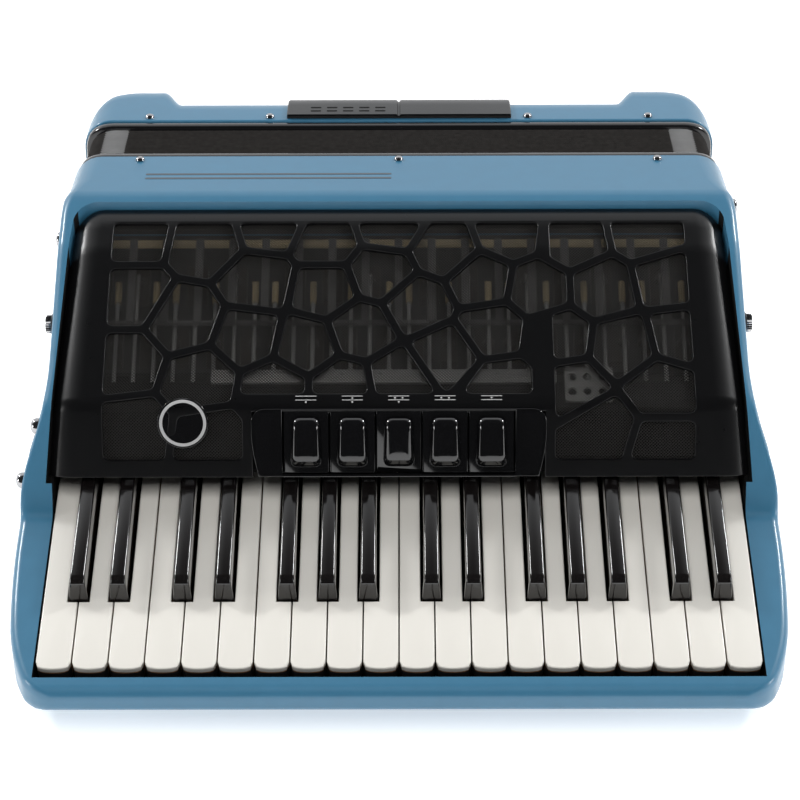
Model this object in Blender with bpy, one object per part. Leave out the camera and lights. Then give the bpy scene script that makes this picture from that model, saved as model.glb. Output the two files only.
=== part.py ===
"""Piano accordion, closed, lying on its back.

Metres, +Z up.  X runs along the keyboard (low notes at -X), +Y points from the keyboard to the
bass side, and Z = 0 is the back face that the instrument rests on.  Everything is drawn from one
datum line, where the key tops pass under the grille cover, and the last function moves the whole
instrument so that the origin lies under the middle of its box.
"""
import bmesh
import bpy
from math import cos, pi, radians, sin, sqrt
from mathutils import Vector
from mathutils.geometry import delaunay_2d_cdt

# ---------------------------------------------------------------- driving dimensions
GAP = 0.0003                  # between pieces that touch

WHITE_PITCH = 0.0183
WHITE_NAMES = "GABCDEFGABCDEFGABCDE"
BLACK_AFTER = {"G": 0.0, "A": 0.0025, "C": -0.0016, "D": 0.0016, "F": -0.0025}
KEY_GAP = 0.0007
KEY_SLOPE = radians(16)       # the keys fall away from the grille
KEY_DATUM_Z = 0.0722          # height of the key tops at the datum line
KEY_LENGTH = 0.1243           # datum line to the front edge
KEY_DEPTH = 0.0115
BLACK_LENGTH = 0.082
BLACK_HEIGHT = 0.012
BLACK_WIDTH = 0.0097
BLACK_TOP_WIDTH = 0.0074
BLACK_CLEARANCE = 0.0008
ROD_S, ROD_H, ROD_R = -0.020, -0.008, 0.0014
TAIL_END = -0.031

FRONT_Z = 0.185               # front face, uppermost as it lies
CASE_HALF = 0.186
CASE_Y = (0.036, 0.158)       # keyboard side and bellows side of the treble casing
CORNER_R = 0.017
WALL = 0.008
SKIN = 0.006
STRIP_Y = 0.112               # the front strip ends here and the grille slope begins
LIP_Y = 0.1068                # and this is where the opening under the cover ends
RIM = [(0.079, 0.170), (-0.003, 0.119)]

COVER_PROFILE = [(0.1062, 0.1690), (0.1040, 0.1795), (0.079, 0.1682), (-0.003, 0.1205), (-0.0185, 0.0843)]
COVER_BEND_R = (0.003, 0.060, 0.014)
COVER_HALF = (0.1785, 0.1853)  # half width at the top and at the lower edge
COVER_T = 0.002
COVER_EDGE_R = 0.008

BED_FRONT, BED_UNDER = 0.1335, 0.018
TRAY_END, TRAY_FLOOR = 0.1295, -0.0172

SOUNDBOARD = ((0.036, 0.104), (0.150, 0.1785))   # its upper face, seen from the side
SOUNDBOARD_T = 0.004
LEVER_LIFT = 0.010
WHITE_PALLET_Y, BLACK_PALLET_Y = 0.056, 0.088
WHITE_PALLET, BLACK_PALLET = 0.0095, 0.012
PALLET_LENGTH, PALLET_T = 0.0185, 0.004
LEVER_LIMIT = 0.1745          # the end keys' arms stay this near the middle

FRAME_T = 0.0060
FRAME_HALF = 0.1845
BELLOWS_Y = (0.1646, 0.1977)
FOLDS = 12
BELLOWS_HALF = 0.1795
BASS_Y = 0.2051
BASS_MID_Y, BASS_HORN_Y = 0.250, 0.2716
BASS_MID_R, BASS_HORN_R = 0.030, 0.035
HORN_X = (0.130, 0.142)

REGISTERS = 5
REGISTER_PITCH = 0.0244
REGISTER_LENGTH = 0.031
REGISTER_BAY = 0.0765
REGISTER_TOP = -0.0060
TABLET = (0.0145, 0.026, 0.006)
PRESSED = 2                   # the middle one
PRESS_ANGLE = radians(5)

BUTTON_COLUMNS, BUTTON_ROWS = 12, 6
BUTTON_PITCH = (0.0165, 0.0115)
BUTTON_R = 0.0037
PANEL_Z = (0.010, 0.088)
STRAP_Z = (0.092, 0.150)
STRAP_BOW = 0.034
AIR_X, AIR_Z = -0.122, 0.060
WHEEL = (-0.179, 0.236, 0.106)
WHEEL_R = 0.011

# ---------------------------------------------------------------- the grille cover's lattice
# Each seed (u, w), in millimetres across and up the slope, owns the ground that is nearest to it.
LATTICE_SEEDS = [
    (-145, 105), (-105, 100), (-70, 110), (-40, 100), (-5, 110),
    (25, 95), (60, 105), (95, 100), (135, 105),
    (-145, 65), (-115, 50), (-75, 75), (-40, 70), (-10, 80),
    (10, 60), (45, 75), (75, 70), (110, 70), (145, 75),
    (-80, 40), (-50, 35), (-20, 45), (25, 30), (50, 45), (85, 40), (120, 35), (150, 40),
    (-145, 25), (-105, 15), (-65, 10), (-30, 10), (0, 15), (55, 10), (90, 10), (140, 10),
    (-140, -15), (-100, -20), (105, -15), (140, -25),
]
LATTICE_BAR = 0.0045
LATTICE_SIDE, LATTICE_TOP, LATTICE_LOW = 0.156, 0.113, -0.030
LATTICE_CORNER = 0.006
BAY_MARGIN = 0.006            # solid cover around the register bay
SHORTEST_EDGE = 0.003


# ---------------------------------------------------------------- tools
def material(name, colour, roughness, metallic=0.0):
    mat = bpy.data.materials.get(name)
    if mat is None:
        mat = bpy.data.materials.new(name)
        mat.use_nodes = True
        shader = mat.node_tree.nodes["Principled BSDF"]
        shader.inputs["Base Color"].default_value = (*colour, 1)
        shader.inputs["Roughness"].default_value = roughness
        shader.inputs["Metallic"].default_value = metallic
    return mat


def new_object(name, verts, faces, mat=None):
    """A mesh object whose faces all point outwards."""
    bm = bmesh.new()
    points = [bm.verts.new(v) for v in verts]
    for face in faces:
        bm.faces.new([points[i] for i in face])
    bmesh.ops.remove_doubles(bm, verts=bm.verts, dist=1e-6)
    bmesh.ops.recalc_face_normals(bm, faces=bm.faces)
    if bm.calc_volume(signed=True) < 0:
        bmesh.ops.reverse_faces(bm, faces=bm.faces)
    mesh = bpy.data.meshes.new(name)
    bm.to_mesh(mesh)
    bm.free()
    obj = bpy.data.objects.new(name, mesh)
    bpy.context.scene.collection.objects.link(obj)
    if mat:
        mesh.materials.append(material(*mat))
    return obj


def loft(name, sections, mat=None):
    """A solid through closed sections that all have the same number of points."""
    count = len(sections[0])
    verts = [p for section in sections for p in section]
    faces = [range(count), range(len(verts) - count, len(verts))]
    for ring in range(len(sections) - 1):
        for i in range(count):
            j = (i + 1) % count
            low, high = ring * count, (ring + 1) * count
            faces.append((low + i, low + j, high + j, high + i))
    return new_object(name, verts, faces, mat)


def prism(name, outline, low, high, place, mat=None):
    """A flat outline pushed from low to high; place(a, b, depth) puts a point in space."""
    return loft(name, [[place(a, b, d) for a, b in outline] for d in (low, high)], mat)


def along_x(a, b, depth):
    return (depth, a, b)


def along_z(a, b, depth):
    return (a, b, depth)


def along_y(a, b, depth):
    return (a, depth, b)


def box(name, x, y, z, mat=None):
    return prism(name, [(x[0], y[0]), (x[1], y[0]), (x[1], y[1]), (x[0], y[1])], *z, along_z, mat)


def combine(target, tool, operation="DIFFERENCE"):
    """Applies one exact Boolean and removes its tool."""
    step = target.modifiers.new("combine", "BOOLEAN")
    step.operation = operation
    step.solver = "EXACT"
    step.object = tool
    graph = bpy.context.evaluated_depsgraph_get()
    mesh = bpy.data.meshes.new_from_object(target.evaluated_get(graph))
    target.modifiers.clear()
    old = target.data
    target.data = mesh
    mesh.name = target.name
    bpy.data.meshes.remove(old)
    bpy.data.objects.remove(tool)
    return target


def rounded(points, radius, steps=3):
    """A closed outline with its corners turned into arcs."""
    out = []
    count = len(points)
    for i, point in enumerate(points):
        here = Vector(point)
        before = Vector(points[i - 1]) - here
        after = Vector(points[(i + 1) % count]) - here
        half = before.angle(after) / 2
        reach = min(radius * cos(half) / sin(half), before.length * 0.45, after.length * 0.45)
        start = here + before.normalized() * reach
        end = here + after.normalized() * reach
        for k in range(steps + 1):
            t = k / steps
            out.append(tuple(start * (1 - t) ** 2 + here * 2 * t * (1 - t) + end * t * t))
    return out


def rounded_box(half, low, high, radius, steps=3):
    return rounded([(-half, low), (half, low), (half, high), (-half, high)], radius, steps)


def anticlockwise(loop):
    area = sum(a[0] * b[1] - b[0] * a[1] for a, b in zip(loop, loop[1:] + loop[:1]))
    return loop if area > 0 else loop[::-1]


def smooth_step(t):
    t = min(max(t, 0.0), 1.0)
    return t * t * (3 - 2 * t)


def holed(name, outline, holes, guides, low, high, place, mat=None):
    """A plate with holes.  It is drawn flat, cut along the guide lines and put in space."""
    points, loops, edges = [], [], []
    for loop in [anticlockwise(line) for line in [outline] + holes]:
        loops.append(list(range(len(points), len(points) + len(loop))))
        points += [Vector(p) for p in loop]
    for line in guides:
        first = len(points)
        points += [Vector(p) for p in line]
        edges += [(first + i, first + i + 1) for i in range(len(line) - 1)]
    flat, _, faces, _, _, sources = delaunay_2d_cdt(points, edges, loops, 0, 1e-7)
    kept = [f for f, source in zip(faces, sources) if source == [0]]
    sides = {(f[i - 1], f[i]) for f in kept for i in range(len(f))}
    border = [(a, b) for a, b in sides if (b, a) not in sides]
    count = len(flat)
    verts = [place(p.x, p.y, high) for p in flat] + [place(p.x, p.y, low) for p in flat]
    skin = [tuple(f) for f in kept] + [tuple(i + count for i in reversed(f)) for f in kept]
    walls = [(a, a + count, b + count, b) for a, b in border]
    used = sorted({i for f in skin + walls for i in f})
    index = {old: new for new, old in enumerate(used)}
    faces = [tuple(index[i] for i in f) for f in skin + walls]
    return new_object(name, [verts[i] for i in used], faces, mat)


def hinge(obj, point):
    """Puts the piece's origin on its joint's axis."""
    shift = Vector(point)
    for vert in obj.data.vertices:
        vert.co -= shift
    obj.location = shift


def smooth(obj, angle=35):
    obj.data.shade_smooth()
    obj.data.set_sharp_from_angle(angle=radians(angle))


# ---------------------------------------------------------------- finishes
BLUE = ("blue_paint", (0.19, 0.30, 0.40), 0.35)
IVORY = ("white_key_plastic", (0.80, 0.77, 0.70), 0.22)
EBONY = ("black_key_plastic", (0.012, 0.010, 0.010), 0.12)
GLOSS = ("black_gloss_plastic", (0.006, 0.006, 0.006), 0.12)
SATIN = ("black_satin_plastic", (0.02, 0.02, 0.02), 0.45)
MESH = ("black_mesh", (0.03, 0.03, 0.03), 0.6)
STEEL = ("bright_steel", (0.62, 0.62, 0.62), 0.25, 1.0)
PALE_WOOD = ("pale_wood", (0.55, 0.42, 0.27), 0.55)
CARD = ("bellows_card", (0.02, 0.02, 0.02), 0.7)
FRAME_WOOD = ("black_frame", (0.015, 0.015, 0.015), 0.4)
LEATHER = ("black_leather", (0.02, 0.018, 0.017), 0.6)
BUTTON = ("button_plastic", (0.78, 0.76, 0.70), 0.25)


# ---------------------------------------------------------------- keyboard
def key_point(x, s, h):
    """s runs out along the keys from the datum line and h stands square to their tops."""
    return (x, -s * cos(KEY_SLOPE) - h * sin(KEY_SLOPE),
            KEY_DATUM_Z - s * sin(KEY_SLOPE) + h * cos(KEY_SLOPE))


def across_key(s, h, x):
    return key_point(x, s, h)


def rod_point():
    return key_point(0, ROD_S, ROD_H)


def soundboard_z(y):
    (y0, z0), (y1, z1) = SOUNDBOARD
    return z0 + (y - y0) * (z1 - z0) / (y1 - y0)


def pallet_span(x, width):
    """Left and right edge of a pallet; the end ones are cut short by the casing's walls."""
    limit = CASE_HALF - WALL - 0.0008
    return max(x - width / 2, -limit), min(x + width / 2, limit)


def lever(x, span, pallet_y):
    """The arm that rises behind the rod, and the pallet that it lifts off the soundboard."""
    x = min(max(x, -LEVER_LIMIT), LEVER_LIMIT)

    def line(y, lift):
        return (y, soundboard_z(y) + lift)

    half = 0.0015
    arm = [(0.0240, 0.074), (0.0270, 0.074), line(0.0270, LEVER_LIFT - half),
           line(pallet_y - 0.004, LEVER_LIFT - half), line(pallet_y - 0.004, 0.003),
           line(pallet_y + 0.004, 0.003), line(pallet_y + 0.004, LEVER_LIFT + half),
           line(0.0240, LEVER_LIFT + half)]
    obj = prism("arm", arm, x - half, x + half, along_x)
    reach = PALLET_LENGTH / 2
    pad = [line(pallet_y - reach, GAP), line(pallet_y + reach, GAP),
           line(pallet_y + reach, PALLET_T), line(pallet_y - reach, PALLET_T)]
    combine(obj, prism("pad", pad, *span, along_x), "UNION")
    return obj


def key_tail(x, width):
    """The saddle that sits over the rod."""
    slot = ROD_R + 0.0004
    side = [(0.006, -KEY_DEPTH), (0.006, -0.0004), (TAIL_END, -0.0004), (TAIL_END, -KEY_DEPTH),
            (ROD_S - slot, -KEY_DEPTH), (ROD_S - slot, ROD_H + ROD_R + GAP),
            (ROD_S + slot, ROD_H + ROD_R + GAP), (ROD_S + slot, -KEY_DEPTH)]
    return prism("tail", side, x - width / 2, x + width / 2, across_key)


def black_between(i):
    """Centre of the black key after white key i, or None."""
    if i < 0 or i >= len(WHITE_NAMES) - 1 or WHITE_NAMES[i] not in BLACK_AFTER:
        return None
    return (i + 1 - len(WHITE_NAMES) / 2) * WHITE_PITCH + BLACK_AFTER[WHITE_NAMES[i]]


def white_key(i):
    middle = (i + 0.5 - len(WHITE_NAMES) / 2) * WHITE_PITCH
    left = middle - (WHITE_PITCH - KEY_GAP) / 2
    right = middle + (WHITE_PITCH - KEY_GAP) / 2
    notch = BLACK_WIDTH / 2 + BLACK_CLEARANCE
    before, after = black_between(i - 1), black_between(i)
    tail_left = left if before is None else before + notch
    tail_right = right if after is None else after - notch
    shoulder = BLACK_LENGTH + BLACK_CLEARANCE
    outline = [(tail_left, -0.005)]
    if before is not None:
        outline += [(tail_left, shoulder), (left, shoulder)]
    outline += [(left, KEY_LENGTH - 0.0030), (left + 0.0012, KEY_LENGTH - 0.0012),
                (middle, KEY_LENGTH),
                (right - 0.0012, KEY_LENGTH - 0.0012), (right, KEY_LENGTH - 0.0030)]
    if after is not None:
        outline += [(right, shoulder), (tail_right, shoulder)]
    outline += [(tail_right, -0.005)]
    key = prism(f"white_key_{i + 1:02d}", outline, -KEY_DEPTH, 0, key_point)
    tail_x = (tail_left + tail_right) / 2
    combine(key, key_tail(tail_x, tail_right - tail_left - 0.0002), "UNION")
    combine(key, lever(tail_x, pallet_span(middle, WHITE_PALLET), WHITE_PALLET_Y), "UNION")
    key.data.materials.clear()
    key.data.materials.append(material(*IVORY))
    hinge(key, rod_point())


def black_key(number, i):
    x = black_between(i)
    side = [(BLACK_LENGTH, -KEY_DEPTH), (BLACK_LENGTH - 0.0003, 0.0), (BLACK_LENGTH - 0.0035, 0.0105),
            (BLACK_LENGTH - 0.0050, BLACK_HEIGHT), (-0.002, BLACK_HEIGHT), (-0.014, -0.0002),
            (-0.014, -KEY_DEPTH)]
    taper = BLACK_TOP_WIDTH / BLACK_WIDTH

    def tapered(s, h, across):
        return key_point(x + across * (1 + (taper - 1) * max(h, 0) / BLACK_HEIGHT), s, h)

    key = prism(f"black_key_{number:02d}", side, -BLACK_WIDTH / 2, BLACK_WIDTH / 2, tapered)
    combine(key, key_tail(x, BLACK_WIDTH - 0.0002), "UNION")
    combine(key, lever(x, pallet_span(x, BLACK_PALLET), BLACK_PALLET_Y), "UNION")
    key.data.materials.clear()
    key.data.materials.append(material(*EBONY))
    hinge(key, rod_point())


def keyboard():
    for i in range(len(WHITE_NAMES)):
        white_key(i)
    number = 0
    for i in range(len(WHITE_NAMES)):
        if black_between(i) is not None:
            number += 1
            black_key(number, i)


def bed_half_width(y):
    """The cheeks bow out along the keys and fair into the casing's sides behind them."""
    if y > 0:
        return 0.1870 + (0.2010 - 0.1870) * (1 - smooth_step(y / 0.050))
    bow = 0.2013 - 0.2 * (y + 0.040) ** 2 / 0.20
    return bow - 0.9 * max(0.0, -y - 0.090) ** 2 / 0.20


def fingerboard():
    """The tray that the keys lie in, with a cheek and a shoulder at each end."""
    stations = [-BED_FRONT, -0.1315, -0.127, -0.105, -0.080, -0.050, -0.022, -0.018, -0.003,
                0.012, 0.025, 0.0357, 0.050]
    rise = [(-0.022, 0.0), (-0.018, 0.008)]
    sections = []
    for y in stations:
        half = bed_half_width(y)
        if y < -0.131:
            half -= 0.008 if y == -BED_FRONT else 0.003
        under = BED_UNDER * min(1.0, max(0.0, -y + 0.02) / 0.15)
        level = KEY_DATUM_Z + y * sin(KEY_SLOPE) / cos(KEY_SLOPE)
        if y <= rise[0][0]:
            top, crown = level, half - 0.003
        elif y <= rise[1][0]:
            top, crown = level + rise[1][1], half - 0.006
        else:
            slope = (RIM[0][1] - RIM[1][1]) / (RIM[0][0] - RIM[1][0])
            top, crown = RIM[1][1] - 0.004 + (y - RIM[1][0]) * slope, 0.1872 if y < 0.04 else 0.1868
        step = min(level - 0.003, top - 0.003)
        sections.append([(-half + 0.002, y, under), (half - 0.002, y, under), (half, y, under + 0.003),
                         (half, y, step), (crown, y, top), (-crown, y, top),
                         (-half, y, step), (-half, y, under + 0.003)])
    obj = loft("fingerboard", sections, BLUE)
    keys = len(WHITE_NAMES) * WHITE_PITCH / 2 + 0.0006
    tray = [(TRAY_END, TRAY_FLOOR), (TRAY_END, 0.060), (-0.10, 0.060), (-0.10, TRAY_FLOOR)]
    combine(obj, prism("tray", tray, -keys, keys, across_key))
    inside = CASE_HALF + GAP
    combine(obj, box("casing_seat", (-inside, inside), (CASE_Y[0] - GAP, 0.06), (-0.01, 0.2)))
    cover = [(0.019, 0.001), (0.019, 0.14), (-0.10, 0.14), (-0.10, 0.001)]
    combine(obj, prism("cover_seat", cover, -inside, inside, across_key))
    return obj


def key_rod():
    _, y, z = rod_point()
    half = len(WHITE_NAMES) * WHITE_PITCH / 2 + 0.0003
    ring = [(y + ROD_R * cos(k * pi / 6), z + ROD_R * sin(k * pi / 6)) for k in range(12)]
    smooth(prism("key_rod", ring, -half, half, along_x, STEEL))


# ---------------------------------------------------------------- treble side
def corner_drop(x, radius):
    """How far a rounded edge has fallen at x."""
    into = abs(x) - (CASE_HALF - radius)
    if into <= 0:
        return 0.0
    return radius - sqrt(max(radius * radius - into * into, 0.0))


def edge_stations(half, radius, steps=5):
    side = [half - radius + radius * sin(k * pi / 2 / steps) for k in range(steps + 1)]
    return [-x for x in reversed(side)] + side


def treble_casing():
    slope = (RIM[0][1] - RIM[1][1]) / (RIM[0][0] - RIM[1][0])
    low_rim = RIM[1][1] + (CASE_Y[0] - RIM[1][0]) * slope
    outline = [(CASE_Y[0], 0.0), (CASE_Y[1], 0.0), (CASE_Y[1], FRONT_Z), (STRIP_Y, FRONT_Z),
               RIM[0], (CASE_Y[0], low_rim)]
    sections = []
    for x in edge_stations(CASE_HALF, CORNER_R):
        section = []
        for y, z in outline:
            share = 0.45 + 0.55 * smooth_step((y - 0.03) / (STRIP_Y - 0.03))
            drop = corner_drop(x, CORNER_R) * share if z > 0.1 else 0.0
            section.append((x, y, z - drop))
        sections.append(section)
    obj = loft("treble_casing", sections, BLUE)
    inner = CASE_HALF - WALL
    hollow = [(0.042, SKIN), (0.170, SKIN), (0.170, FRONT_Z - SKIN), (LIP_Y, FRONT_Z - SKIN),
              (LIP_Y, 0.21), (0.02, 0.21), (0.02, 0.102), (0.042, 0.102)]
    combine(obj, prism("hollow", hollow, -inner, inner, along_x))
    seat = []
    for y in (0.020, LIP_Y):
        _, z = profile_at_y(min(y, 0.100))
        half = cover_half_at(y) + 0.0006
        seat.append([(-half, y, z - 0.0115), (half, y, z - 0.0115), (half, y, 0.21), (-half, y, 0.21)])
    combine(obj, loft("seat", seat))
    smooth(obj)


def bend(points, radii, steps=4):
    """An open line whose inner corners are turned into arcs."""
    line = [Vector(points[0])]
    for i in range(1, len(points) - 1):
        here = Vector(points[i])
        before, after = Vector(points[i - 1]) - here, Vector(points[i + 1]) - here
        half = before.angle(after) / 2
        reach = radii[i - 1] * cos(half) / sin(half)
        start, end = here + before.normalized() * reach, here + after.normalized() * reach
        for k in range(steps + 1):
            t = k / steps
            line.append(start * (1 - t) ** 2 + here * 2 * t * (1 - t) + end * t * t)
    line.append(Vector(points[-1]))
    return line


def cover_line():
    """The cover's side view as (w, y, z), with w = 0 at the lower bend's corner."""
    line = bend(COVER_PROFILE, COVER_BEND_R)
    lengths = [0.0]
    for a, b in zip(line, line[1:]):
        lengths.append(lengths[-1] - (b - a).length)
    corner = Vector(COVER_PROFILE[3])
    nearest = min(range(len(line)), key=lambda i: (line[i] - corner).length)
    return [(length - lengths[nearest], p.x, p.y) for length, p in zip(lengths, line)]


def profile(w):
    """Place and outward normal on the cover's side view."""
    line = COVER_LINE
    for (w0, y0, z0), (w1, y1, z1) in zip(line, line[1:]):
        if w >= w1 or (w1, y1, z1) == line[-1]:
            t = (w - w0) / (w1 - w0)
            along = Vector((y0 - y1, z0 - z1)).normalized()
            return (y0 + (y1 - y0) * t, z0 + (z1 - z0) * t), (-along.y, along.x)
    return None


def profile_at_y(y):
    line = COVER_LINE
    for (_, y0, z0), (_, y1, z1) in zip(line, line[1:]):
        if y >= y1:
            return y, z0 + (z1 - z0) * (y - y0) / (y1 - y0)
    return line[-1][1], line[-1][2]


def cover_half_at(y):
    top, low = COVER_PROFILE[0][0], COVER_PROFILE[-1][0]
    return COVER_HALF[1] + (COVER_HALF[0] - COVER_HALF[1]) * (y - low) / (top - low)


def on_cover(u, w, depth):
    """A point on the cover; past its flat part it turns down over the rounded side edge."""
    (y, z), (ny, nz) = profile(w)
    flat = cover_half_at(y) - COVER_EDGE_R
    turn = max(0.0, abs(u) - flat) / COVER_EDGE_R
    side = 1 if u > 0 else -1
    x = min(abs(u), flat) + COVER_EDGE_R * sin(turn) + depth * sin(turn)
    lift = COVER_EDGE_R * (cos(turn) - 1) + depth * cos(turn)
    return (side * x, y + ny * lift, z + nz * lift)


def cover_edge(w, turn=1.4):
    (y, _), _ = profile(w)
    return cover_half_at(y) - COVER_EDGE_R * (1 - turn)


def clip(outline, point, away):
    """What is left of a convex outline when everything beyond a line is cut off."""
    kept = []
    for a, b in zip(outline, outline[1:] + outline[:1]):
        past_a, past_b = (a - point).dot(away), (b - point).dot(away)
        if past_a <= 0:
            kept.append(a)
        if past_a * past_b < 0:
            kept.append(a + (b - a) * past_a / (past_a - past_b))
    return kept


def lattice_field(seed):
    """The ground open to a seed: above the register bay, or beside it for a low seed."""
    left, right, low = -LATTICE_SIDE, LATTICE_SIDE, LATTICE_LOW
    beside = REGISTER_BAY + BAY_MARGIN
    if abs(seed.x) < beside:
        low = BAY_MARGIN
    elif seed.x > 0:
        left = beside
    else:
        right = -beside
    corners = [(left, low), (right, low), (right, LATTICE_TOP), (left, LATTICE_TOP)]
    return [Vector(corner) for corner in corners]


def grille_openings():
    """The cells between the lattice's bars."""
    seeds = [Vector(seed) / 1000 for seed in LATTICE_SEEDS]
    cells = []
    for seed in seeds:
        cell = lattice_field(seed)
        for other in seeds:
            if other is not seed:
                away = (other - seed).normalized()
                cell = clip(cell, (seed + other) / 2 - away * LATTICE_BAR / 2, away)
        corners = [b for a, b in zip(cell[-1:] + cell, cell) if (b - a).length > SHORTEST_EDGE]
        cells.append(rounded(corners, LATTICE_CORNER, 2))
    return cells


def cover_guides():
    lines = [[(-0.2, w), (0.2, w)] for w, _, _ in COVER_LINE[1:-1]]
    rows = [w for w, _, _ in COVER_LINE]
    for turn in (0.0, 0.7):
        for side in (-1, 1):
            lines.append([(side * cover_edge(w, turn), w) for w in rows])
    return lines


def grille_cover():
    rows = [w for w, _, _ in COVER_LINE]
    low = rows[-1]
    bay, bay_top = REGISTER_BAY + 0.0005, -0.004
    outline = [(-cover_edge(w), w) for w in rows]
    outline += [(-bay, low), (-bay, bay_top), (bay, bay_top), (bay, low)]
    outline += [(cover_edge(w), w) for w in reversed(rows)]
    obj = holed("grille_cover", outline, grille_openings(), cover_guides(), -COVER_T, 0.0, on_cover, GLOSS)
    smooth(obj, 30)


def grille_mesh():
    """The fine screen behind the openings."""
    rows = [w for w, _, _ in COVER_LINE]
    top, low = rows[0] - 0.016, -0.034
    side, bay, bay_top = 0.165, REGISTER_BAY + 0.004, 0.003
    outline = [(-side, top), (-side, low), (-bay, low), (-bay, bay_top), (bay, bay_top), (bay, low),
               (side, low), (side, top)]
    guides = [[(-0.2, w), (0.2, w)] for w in rows[1:-1] if low < w < top]
    back = COVER_T + GAP
    holed("grille_mesh", outline, [], guides, -back - 0.0005, -back, on_cover, MESH)


def on_bay(u, w, depth):
    """The register bay's flat face, below the cover's bend."""
    (y, z), (ny, nz) = profile(-0.030)
    up_y, up_z = nz, -ny
    reach = w + 0.030
    return (u, y + up_y * reach + ny * depth, z + up_z * reach + nz * depth)


def register_housing():
    low = COVER_LINE[-1][0] + 0.0005
    outline = rounded([(-REGISTER_BAY, low), (REGISTER_BAY, low), (REGISTER_BAY, -0.0045),
                       (-REGISTER_BAY, -0.0045)], 0.001, 2)
    wide = REGISTERS * REGISTER_PITCH / 2 + 0.0004
    top, bottom = REGISTER_TOP + 0.0004, REGISTER_TOP - REGISTER_LENGTH - 0.0004
    window = [(-wide, bottom), (wide, bottom), (wide, top), (-wide, top)]
    holed("register_housing", outline, [window], [], -0.004, 0.001, on_bay, GLOSS)


def register_switch(i):
    middle = (i - (REGISTERS - 1) / 2) * REGISTER_PITCH
    half = REGISTER_PITCH / 2 - GAP
    low = REGISTER_TOP - REGISTER_LENGTH
    plate = [(middle - half, low), (middle + half, low), (middle + half, REGISTER_TOP),
             (middle - half, REGISTER_TOP)]
    obj = prism(f"register_switch_{i + 1}", plate, -0.0025, 0.0, on_bay, GLOSS)
    wide, tall, proud = TABLET
    centre = (low + REGISTER_TOP) / 2 - 0.0015
    tablet = rounded([(middle - wide / 2, centre - tall / 2), (middle + wide / 2, centre - tall / 2),
                      (middle + wide / 2, centre + tall / 2), (middle - wide / 2, centre + tall / 2)],
                     0.004, 2)
    combine(obj, prism("tablet", tablet, -0.001, proud, on_bay), "UNION")
    pivot = on_bay(0, REGISTER_TOP, -0.0025)
    hinge(obj, pivot)
    if i == PRESSED:
        obj.rotation_euler.x = PRESS_ANGLE


def soundboard_point(u, v, depth):
    """u across, v up the soundboard from its lower edge, depth square to its upper face."""
    (y0, z0), (y1, z1) = SOUNDBOARD
    along = Vector((y1 - y0, z1 - z0)).normalized()
    return (u, y0 + along.x * v - along.y * depth, z0 + along.y * v + along.x * depth)


def tone_hole(span, y):
    (y0, _), (y1, _) = SOUNDBOARD
    length = (Vector(SOUNDBOARD[1]) - Vector(SOUNDBOARD[0])).length
    v = (y - y0) / (y1 - y0) * length
    left, right = span[0] + 0.002, span[1] - 0.002
    return [(left, v - 0.007), (right, v - 0.007), (right, v + 0.007), (left, v + 0.007)]


def treble_soundboard():
    inner = CASE_HALF - WALL - GAP
    length = (Vector(SOUNDBOARD[1]) - Vector(SOUNDBOARD[0])).length
    holes = []
    for i in range(len(WHITE_NAMES)):
        middle = (i + 0.5 - len(WHITE_NAMES) / 2) * WHITE_PITCH
        holes.append(tone_hole(pallet_span(middle, WHITE_PALLET), WHITE_PALLET_Y))
        if black_between(i) is not None:
            holes.append(tone_hole(pallet_span(black_between(i), BLACK_PALLET), BLACK_PALLET_Y))
    outline = [(-inner, 0.0108), (inner, 0.0108), (inner, length - 0.001), (-inner, length - 0.001)]
    holed("treble_soundboard", outline, holes, [], -SOUNDBOARD_T, 0.0, soundboard_point, PALE_WOOD)


def treble_reed_block():
    """A block of air cells, one under each pair of tone holes."""
    cells = []
    for i in range(len(WHITE_NAMES)):
        x = (i + 0.5 - len(WHITE_NAMES) / 2) * WHITE_PITCH * 0.92
        cells.append([(x - 0.006, 0.045), (x + 0.006, 0.045), (x + 0.006, 0.095), (x - 0.006, 0.095)])
    outline = [(-0.172, 0.038), (0.172, 0.038), (0.172, 0.102), (-0.172, 0.102)]
    top = -SOUNDBOARD_T - GAP
    holed("treble_reed_block", outline, cells, [], top - 0.028, top, soundboard_point, PALE_WOOD)


# ---------------------------------------------------------------- bellows
def ring_solid(name, outer, inner, mat):
    """A tube from matching outer and inner loops, each a list of rings along it."""
    count, rings = len(outer[0]), len(outer)
    verts = [p for ring in outer + inner for p in ring]
    faces = []

    def band(a, b):
        for i in range(count):
            j = (i + 1) % count
            faces.append((a + i, a + j, b + j, b + i))

    for r in range(rings - 1):
        band(r * count, (r + 1) * count)
        band((rings + r) * count, (rings + r + 1) * count)
    band(0, rings * count)
    band((rings - 1) * count, (2 * rings - 1) * count)
    return new_object(name, verts, faces, mat)


def loop_at(y, half, low, high, radius, steps=3):
    return [(x, y, z) for x, z in rounded_box(half, low, high, radius, steps)]


def bellows_frame(name, y):
    outer = [loop_at(y + d, FRAME_HALF, 0.0005, FRONT_Z - 0.0005, CORNER_R) for d in (0, FRAME_T)]
    inner = [loop_at(y + d, FRAME_HALF - 0.020, 0.0205, FRONT_Z - 0.0205, 0.006) for d in (0, FRAME_T)]
    smooth(ring_solid(name, outer, inner, FRAME_WOOD))


def bellows():
    depth, low = 0.010, 0.0055
    high = FRONT_Z - low
    outer, inner = [], []
    for k in range(2 * FOLDS + 1):
        y = BELLOWS_Y[0] + (BELLOWS_Y[1] - BELLOWS_Y[0]) * k / (2 * FOLDS)
        sink = 0.0 if k % 2 else depth
        outer.append(loop_at(y, BELLOWS_HALF - sink, low + sink, high - sink, CORNER_R - 0.3 * sink, 2))
        inner.append(loop_at(y, BELLOWS_HALF - 0.015, low + 0.015, high - 0.015, 0.006, 2))
    ring_solid("bellows", outer, inner, CARD)


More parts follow.
